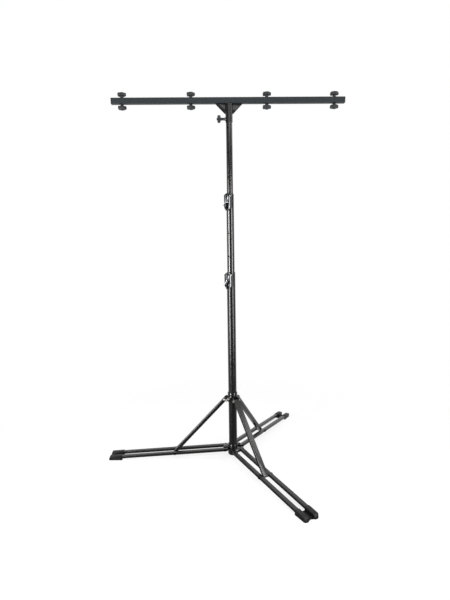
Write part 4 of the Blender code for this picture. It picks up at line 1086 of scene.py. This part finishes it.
def brace_tubes():
    """Struts with round ends and a cross tube through the lower one."""
    eye = STRUT_HEIGHT / 2
    reach = 1.08 * eye
    length = STRUT_LENGTH
    for index in range(LEGS):
        tube = section_tube(-eye, length + eye, STRUT_WIDTH, STRUT_HEIGHT)
        ends = box((-eye, -STRUT_WIDTH, -reach), (length + eye, STRUT_WIDTH, reach))
        round_edges(ends, lambda a, b: abs(a.x - b.x) + abs(a.z - b.z) < LEVEL, FULL * reach, 10)
        combine(tube, ends, "INTERSECT")
        cross = bar(CROSS_TUBE, (length, -BETWEEN_RAILS, 0), (length, BETWEEN_RAILS, 0), MEDIUM_ROUND)
        join(tube, cross)
        for x in (0, length):
            drill_across(tube, BOLT_HOLE, x)
        place = frame_at(*STRUT_TOP, leg_azimuth(index), STRUT_SLOPE)
        name = f"strut_{index + 1}"
        keep(put(tube, place), f"brace_tube_{index + 1}", name, "coat", [name])


def collar_cheek(side):
    """One cheek of a pair, with its top cut down towards the strut."""
    pivot_x, pivot_z = STRUT_TOP
    eye = STRUT_HEIGHT / 2
    near = side * (STRUT_WIDTH / 2 + SEAT_GAP)
    far = near + side * CHEEK_THICKNESS
    low = (LUG_RADIUS, min(near, far), pivot_z - eye)
    cheek = box(low, (pivot_x + eye, max(near, far), pivot_z + CHEEK_UP))
    trim(cheek, (pivot_x + 0.70 * eye, 0, pivot_z + 0.70 * eye), CHEEK_SLOPE)

    def across_nose(a, b):
        return min(a.x, b.x) > pivot_x + eye / 2 and abs(a.z - b.z) < LEVEL

    round_edges(cheek, across_nose, 0.6 * eye, 6)
    return soften(cheek, sizes().plate_edge, segments=2, angle=50)


def collar_casting():
    """Sliding collar with three pairs of cheeks and a clamp boss."""
    rounded = ((-0.0016, 0), (-0.0005, 0.0005), (0, 0.0016))
    profile = [(COLLAR_RADIUS + inset, COLLAR_BOTTOM + up) for inset, up in rounded]
    profile += [(COLLAR_RADIUS + inset, COLLAR_TOP - down) for inset, down in reversed(rounded)]
    collar = turned(profile)
    for index in range(LEGS):
        for side in (-1, 1):
            join(collar, put(collar_cheek(side), spin(leg_azimuth(index), "Z")))
    clamp = spin(LOCK_AZIMUTH, "Z") @ shift(0, 0, CLAMP_Z) @ spin(QUARTER, "Y")
    join(collar, put(turned(CLAMP_BOSS, MEDIUM_ROUND), clamp))
    bore(collar, COLLAR_BORE, COLLAR_BOTTOM, COLLAR_TOP)
    cut(collar, put(bar(CLAMP_HOLE, (0, 0, CLAMP_HOLE_START), (0, 0, PAST)), clamp))
    pivot_x, pivot_z = STRUT_TOP
    for index in range(LEGS):
        drill = bar(BOLT_HOLE, (pivot_x, -CHEEK_DRILL, pivot_z), (pivot_x, CHEEK_DRILL, pivot_z))
        cut(collar, put(drill, spin(leg_azimuth(index), "Z")))
    keep(collar, "collar_casting", "collar", "cast", ["brace_collar"])


def tommy_screw():
    """Clamp screw with a sliding tommy bar that has rolled ends."""
    screw = put(turned(CLAMP_SCREW, MEDIUM_ROUND), spin(QUARTER, "Y"))
    handle = turned([(radius, -z) for radius, z in reversed(TOMMY_END)] + TOMMY_END, SMALL_ROUND)
    join(screw, put(handle, shift(TOMMY_OUT, 0, 0) @ spin(TOMMY_TURN, "X")))
    place = spin(LOCK_AZIMUTH, "Z") @ shift(0, 0, CLAMP_Z)
    keep(put(screw, place), "tommy_bar_screw", "collar_clamp", "zinc", ["collar_clamp_screw"])


def hex_head(face, side):
    """Washer and chamfered hexagon head outside a face, along Y."""
    washer = turned(WASHER, SMALL_ROUND)
    join(washer, turned(HEXAGON, 6))
    return put(washer, shift(0, face + side * HEAD_GAP, 0) @ spin(-side * QUARTER, "X"))


def pivot_bolt(face, place, sides=(-1, 1), inner_end=0.0):
    """Pivot bolt along the place's Y axis with a head outside each face, or a short screw on one side."""
    low = -face - BOLT_PROUD if -1 in sides else inner_end
    high = face + BOLT_PROUD if 1 in sides else -inner_end
    bolt = bar(BOLT_RADIUS, (0, low, 0), (0, high, 0))
    for side in sides:
        join(bolt, hex_head(side * face, side))
    return put(bolt, place)


def pivot_bolts():
    """Bolts through the hub's tongues and the collar's cheeks, and the screws that carry the braces."""
    cheek_face = STRUT_WIDTH / 2 + SEAT_GAP + CHEEK_THICKNESS
    for number in range(1, LEGS + 1):
        azimuth = leg_azimuth(number - 1)
        hub = pivot_bolt(RAIL_FACE, frame_at(*LEG_PIVOT, azimuth))
        keep(hub, f"hub_pivot_bolt_{number}", "mast_base", "bolt", [f"hub_bolt_{number}"])
        top = pivot_bolt(cheek_face, frame_at(*STRUT_TOP, azimuth))
        keep(top, f"collar_pivot_bolt_{number}", "collar", "zinc", [f"strut_bolt_{number}"])
        leg = frame_at(*LEG_PIVOT, azimuth, LEG_SLOPE) @ shift(STRUT_ON_LEG, 0, 0)
        for side, word in ((-1, "right"), (1, "left")):
            screw = pivot_bolt(RAIL_FACE, leg, (side,), SCREW_INNER_END)
            node = f"leg_{number}_pivot_screw_{word}"
            keep(screw, f"brace_screw_{number}_{word}", f"leg_{number}", "bolt", [node])


# Studio


def area_light(name, place, target, size, power):
    light = bpy.data.lights.new(name, "AREA")
    light.shape = "RECTANGLE"
    light.size, light.size_y = size
    light.energy = power
    lamp = bpy.data.objects.new(name, light)
    bpy.context.scene.collection.objects.link(lamp)
    lamp.location = place
    lamp.rotation_euler = (Vector(target) - Vector(place)).to_track_quat("-Z", "Y").to_euler()
    lamp.visible_camera = False


def sight(tree):
    """The light path, and a value that is 1 for what the eye meets straight or through glass."""
    path = add_node(tree, "ShaderNodeLightPath")
    rays = {0: path.outputs["Is Camera Ray"], 1: path.outputs["Is Transmission Ray"]}
    seen = add_node(tree, "ShaderNodeMath", {"operation": "MAXIMUM"}, links=rays)
    return path, seen.outputs["Value"]


def white_surround(settings):
    """World: white to the eye and through glass, white behind the stand in mirrors, and a plain fill."""
    world = bpy.data.worlds.new("white_surround")
    bpy.context.scene.world = world
    world.use_nodes = True
    tree = world.node_tree
    tree.nodes.clear()
    path, seen = sight(tree)
    way = add_node(tree, "ShaderNodeTexCoord").outputs["Generated"]
    parts = add_node(tree, "ShaderNodeSeparateXYZ", links={"Vector": way})
    mirrored = add_node(
        tree,
        "ShaderNodeMapRange",
        {"interpolation_type": "SMOOTHSTEP"},
        {"From Min": -0.30, "From Max": 0.35, "To Min": settings.room, "To Max": 1.0},
        {"Value": parts.outputs["Y"]},
    )
    either = {0: path.outputs["Is Glossy Ray"], 3: mirrored.outputs["Result"]}
    level = add_node(tree, "ShaderNodeMix", {"data_type": "FLOAT"}, {2: settings.fill}, either)
    either = {0: seen, 2: level.outputs["Result"]}
    strength = add_node(tree, "ShaderNodeMix", {"data_type": "FLOAT"}, {3: 1.0}, either)
    glow = {"Strength": strength.outputs["Result"]}
    background = add_node(tree, "ShaderNodeBackground", {}, {"Color": (1, 1, 1, 1)}, glow)
    add_node(tree, "ShaderNodeOutputWorld", links={"Surface": background.outputs["Background"]})


def floor_white(settings):
    # Matt white floor: to the eye, in mirrors and through glass it glows white, more so away from the stand
    material, tree, place = new_material("matt_white_floor")
    path, seen = sight(tree)
    distance = add_node(tree, "ShaderNodeVectorMath", {"operation": "LENGTH"}, links={0: place})
    glow = add_node(
        tree,
        "ShaderNodeMapRange",
        {"interpolation_type": "SMOOTHSTEP"},
        {"From Min": 0.75, "From Max": 1.6, "To Min": 1 - settings.shadow, "To Max": 1.0},
        {"Value": distance.outputs["Value"]},
    )
    both = {0: seen, 1: glow.outputs["Result"]}
    share = add_node(tree, "ShaderNodeMath", {"operation": "MULTIPLY"}, links=both)
    paint = add_node(tree, "ShaderNodeBsdfDiffuse", values={"Color": (0.86, 0.86, 0.86, 1)})
    white = add_node(tree, "ShaderNodeEmission", values={"Color": (1, 1, 1, 1), "Strength": 1.0})
    either = {0: share.outputs["Value"], 1: paint.outputs["BSDF"], 2: white.outputs["Emission"]}
    direct = add_node(tree, "ShaderNodeMixShader", links=either)
    parts = add_node(tree, "ShaderNodeSeparateXYZ", links={"Vector": place})
    mirrored = add_node(
        tree,
        "ShaderNodeMapRange",
        {"interpolation_type": "SMOOTHSTEP"},
        {"From Min": -0.3, "From Max": 0.6, "To Min": settings.room, "To Max": 1.0},
        {"Value": parts.outputs["Y"]},
    )
    strength = {"Strength": mirrored.outputs["Result"]}
    mirror = add_node(tree, "ShaderNodeEmission", {}, {"Color": (1, 1, 1, 1)}, strength)
    either = {0: path.outputs["Is Glossy Ray"], 1: direct.outputs["Shader"], 2: mirror.outputs["Emission"]}
    mixed = add_node(tree, "ShaderNodeMixShader", links=either)
    add_node(tree, "ShaderNodeOutputMaterial", links={"Surface": mixed.outputs["Shader"]})
    return material


def pale_floor(settings):
    bpy.ops.object.select_all(action="DESELECT")
    bpy.ops.mesh.primitive_plane_add(size=FLOOR_SIDE, location=(0, 0, FLOOR_Z - FLOOR_GAP))
    floor = settle(bpy.context.object)
    floor.name = "pale_floor"
    floor.data.materials.append(floor_white(settings))


def photo_camera(settings):
    """Camera where the photograph was taken from, by its place and its yaw, pitch and roll."""
    yaw, pitch, roll = (math.radians(angle) for angle in CAMERA_ANGLES)
    forward = Vector((math.sin(yaw) * math.cos(pitch), math.cos(yaw) * math.cos(pitch), math.sin(pitch)))
    level = Vector((math.cos(yaw), -math.sin(yaw), 0))
    upright = level.cross(forward)
    right = math.cos(roll) * level + math.sin(roll) * upright
    up = math.cos(roll) * upright - math.sin(roll) * level
    turn = Matrix((right, up, -forward)).transposed().to_4x4()
    camera = bpy.data.cameras.new("photo_camera")
    camera.lens = settings.lens
    camera.sensor_width = 36
    camera.clip_end = 50
    holder = bpy.data.objects.new("photo_camera", camera)
    bpy.context.scene.collection.objects.link(holder)
    holder.matrix_world = shift(*CAMERA_PLACE) @ turn
    bpy.context.scene.camera = holder


# Operators


class STAND_OT_finishes(bpy.types.Operator):
    """Make the stand's finishes and give them to the frame's own parts"""

    bl_idname = "stand.finishes"
    bl_label = "Finishes"

    def execute(self, context):
        make_finishes(context.scene.stand_colours)
        by_slot = {slot: material for slot, material in reversed(FINISHES.values())}
        for part in frame["record"]["subparts"]:
            node = frame["nodes"][part["node"]]
            node.data.materials.clear()
            node.data.materials.append(by_slot[part["material_slot"]])
        return {"FINISHED"}


class STAND_OT_mast_tubes(bpy.types.Operator):
    """Build the mast's three tubes"""

    bl_idname = "stand.mast_tubes"
    bl_label = "Mast Tubes"

    def execute(self, context):
        low_pin = LOWER[2] - LOCK_DROP
        high_pin = MID[2] - LOCK_DROP
        mast_tube("mast_tube_lower", LOWER, [low_pin], "mast_base", "lower_tube", "coat")
        mid_holes = lock_holes(low_pin, 2, 2) + [high_pin]
        mast_tube("mast_tube_mid", MID, mid_holes, "mid", "mid_tube", "rubbed")
        mast_tube("mast_tube_upper", UPPER, lock_holes(high_pin, 2, 3), "upper", "upper_tube", "rubbed")
        return {"FINISHED"}


class STAND_OT_tube_guides(bpy.types.Operator):
    """Build the plastic guides in the tubes' mouths"""

    bl_idname = "stand.tube_guides"
    bl_label = "Tube Guides"

    def execute(self, context):
        tube_guide("lower_mouth_guide", LOWER, MID[0], "mast_base", "lower_tube_bush")
        tube_guide("mid_mouth_guide", MID, UPPER[0], "mid", "mid_tube_bush")
        return {"FINISHED"}


class STAND_OT_locks(bpy.types.Operator):
    """Build the two locks with their castings, rivets, levers, pins and pull rods"""

    bl_idname = "stand.locks"
    bl_label = "Locks"

    def execute(self, context):
        locks = (("lower", LOWER, MID[0], "mast_base"), ("upper", MID, UPPER[0], "mid"))
        for prefix, size, inner, body in locks:
            radius = size[0]
            place = frame_at(0, size[2] - LOCK_DROP, LOCK_AZIMUTH)
            lock_casting(prefix, radius, place, body)
            lever_rivet(prefix, radius, place, body)
            thumb_lever(prefix, radius, place)
            spring_pin(prefix, radius, inner, place)
            pull_rod(prefix, radius, place)
        return {"FINISHED"}


class STAND_OT_crossbar(bpy.types.Operator):
    """Build the square crossbar"""

    bl_idname = "stand.crossbar"
    bl_label = "Crossbar"

    def execute(self, context):
        crossbar()
        return {"FINISHED"}


class STAND_OT_end_plugs(bpy.types.Operator):
    """Build the plugs in the bar's ends"""

    bl_idname = "stand.end_plugs"
    bl_label = "End Plugs"

    def execute(self, context):
        end_plugs()
        return {"FINISHED"}


class STAND_OT_socket(bpy.types.Operator):
    """Build the bar's socket with its gussets and welds"""

    bl_idname = "stand.socket"
    bl_label = "Bar Socket"

    def execute(self, context):
        bar_socket()
        socket_welds()
        return {"FINISHED"}


class STAND_OT_knobs(bpy.types.Operator):
    """Build the star knobs with their studs"""

    bl_idname = "stand.knobs"
    bl_label = "Star Knobs"

    def execute(self, context):
        fixture_knobs()
        sleeve_knob()
        return {"FINISHED"}


class STAND_OT_hub(bpy.types.Operator):
    """Build the hub and the plug under the mast"""

    bl_idname = "stand.hub"
    bl_label = "Hub"

    def execute(self, context):
        hub_casting()
        mast_plug()
        return {"FINISHED"}


class STAND_OT_collar(bpy.types.Operator):
    """Build the sliding collar and its clamp screw"""

    bl_idname = "stand.collar"
    bl_label = "Collar"

    def execute(self, context):
        collar_casting()
        tommy_screw()
        return {"FINISHED"}


class STAND_OT_rails(bpy.types.Operator):
    """Build the legs' twin rails"""

    bl_idname = "stand.rails"
    bl_label = "Leg Rails"

    def execute(self, context):
        leg_rails()
        return {"FINISHED"}


class STAND_OT_shoes(bpy.types.Operator):
    """Build the legs' double shoes"""

    bl_idname = "stand.shoes"
    bl_label = "Double Shoes"

    def execute(self, context):
        double_shoes()
        return {"FINISHED"}


class STAND_OT_braces(bpy.types.Operator):
    """Build the brace tubes"""

    bl_idname = "stand.braces"
    bl_label = "Braces"

    def execute(self, context):
        brace_tubes()
        return {"FINISHED"}


class STAND_OT_bolts(bpy.types.Operator):
    """Build the pivot bolts of the legs and braces"""

    bl_idname = "stand.bolts"
    bl_label = "Pivot Bolts"

    def execute(self, context):
        pivot_bolts()
        return {"FINISHED"}


class STAND_OT_stage(bpy.types.Operator):
    """Build the floor, the white surround, the lights and the camera"""

    bl_idname = "stand.stage"
    bl_label = "Stage"

    def execute(self, context):
        settings = context.scene.stand_studio
        white_surround(settings)
        pale_floor(settings)
        for name, setting, place, target, size in LAMPS:
            area_light(name, place, target, size, getattr(settings, setting))
        photo_camera(settings)
        context.scene.view_settings.view_transform = "Standard"
        return {"FINISHED"}


class STAND_PT_panel(bpy.types.Panel):
    """Lists the stand's steps and settings"""

    bl_label = "Lighting Stand"
    bl_idname = "STAND_PT_panel"
    bl_space_type = "VIEW_3D"
    bl_region_type = "UI"
    bl_category = "Lighting Stand"

    def draw(self, context):
        for operator in OPERATORS:
            self.layout.operator(operator.bl_idname)
        scene = context.scene
        for group in (scene.stand_sizes, scene.stand_colours, scene.stand_studio):
            for key in group.__annotations__:
                self.layout.prop(group, key)


OPERATORS = (
    STAND_OT_finishes, STAND_OT_mast_tubes, STAND_OT_tube_guides, STAND_OT_locks, STAND_OT_crossbar,
    STAND_OT_end_plugs, STAND_OT_socket, STAND_OT_knobs, STAND_OT_hub, STAND_OT_collar, STAND_OT_rails,
    STAND_OT_shoes, STAND_OT_braces, STAND_OT_bolts, STAND_OT_stage,
)
CLASSES = (StandSizes, StandColours, StudioSettings, *OPERATORS, STAND_PT_panel)


def register():
    for cls in CLASSES:
        bpy.utils.register_class(cls)
    bpy.types.Scene.stand_sizes = PointerProperty(type=StandSizes)
    bpy.types.Scene.stand_colours = PointerProperty(type=StandColours)
    bpy.types.Scene.stand_studio = PointerProperty(type=StudioSettings)


def unregister():
    del bpy.types.Scene.stand_studio
    del bpy.types.Scene.stand_colours
    del bpy.types.Scene.stand_sizes
    for cls in reversed(CLASSES):
        bpy.utils.unregister_class(cls)


def main():
    register()
    bpy.ops.stand.finishes()
    bpy.ops.stand.mast_tubes()
    bpy.ops.stand.tube_guides()
    bpy.ops.stand.locks()
    bpy.ops.stand.crossbar()
    bpy.ops.stand.end_plugs()
    bpy.ops.stand.socket()
    bpy.ops.stand.knobs()
    bpy.ops.stand.hub()
    bpy.ops.stand.collar()
    bpy.ops.stand.rails()
    bpy.ops.stand.shoes()
    bpy.ops.stand.braces()
    bpy.ops.stand.bolts()
    bpy.ops.stand.stage()


if __name__ == "__main__":
    main()
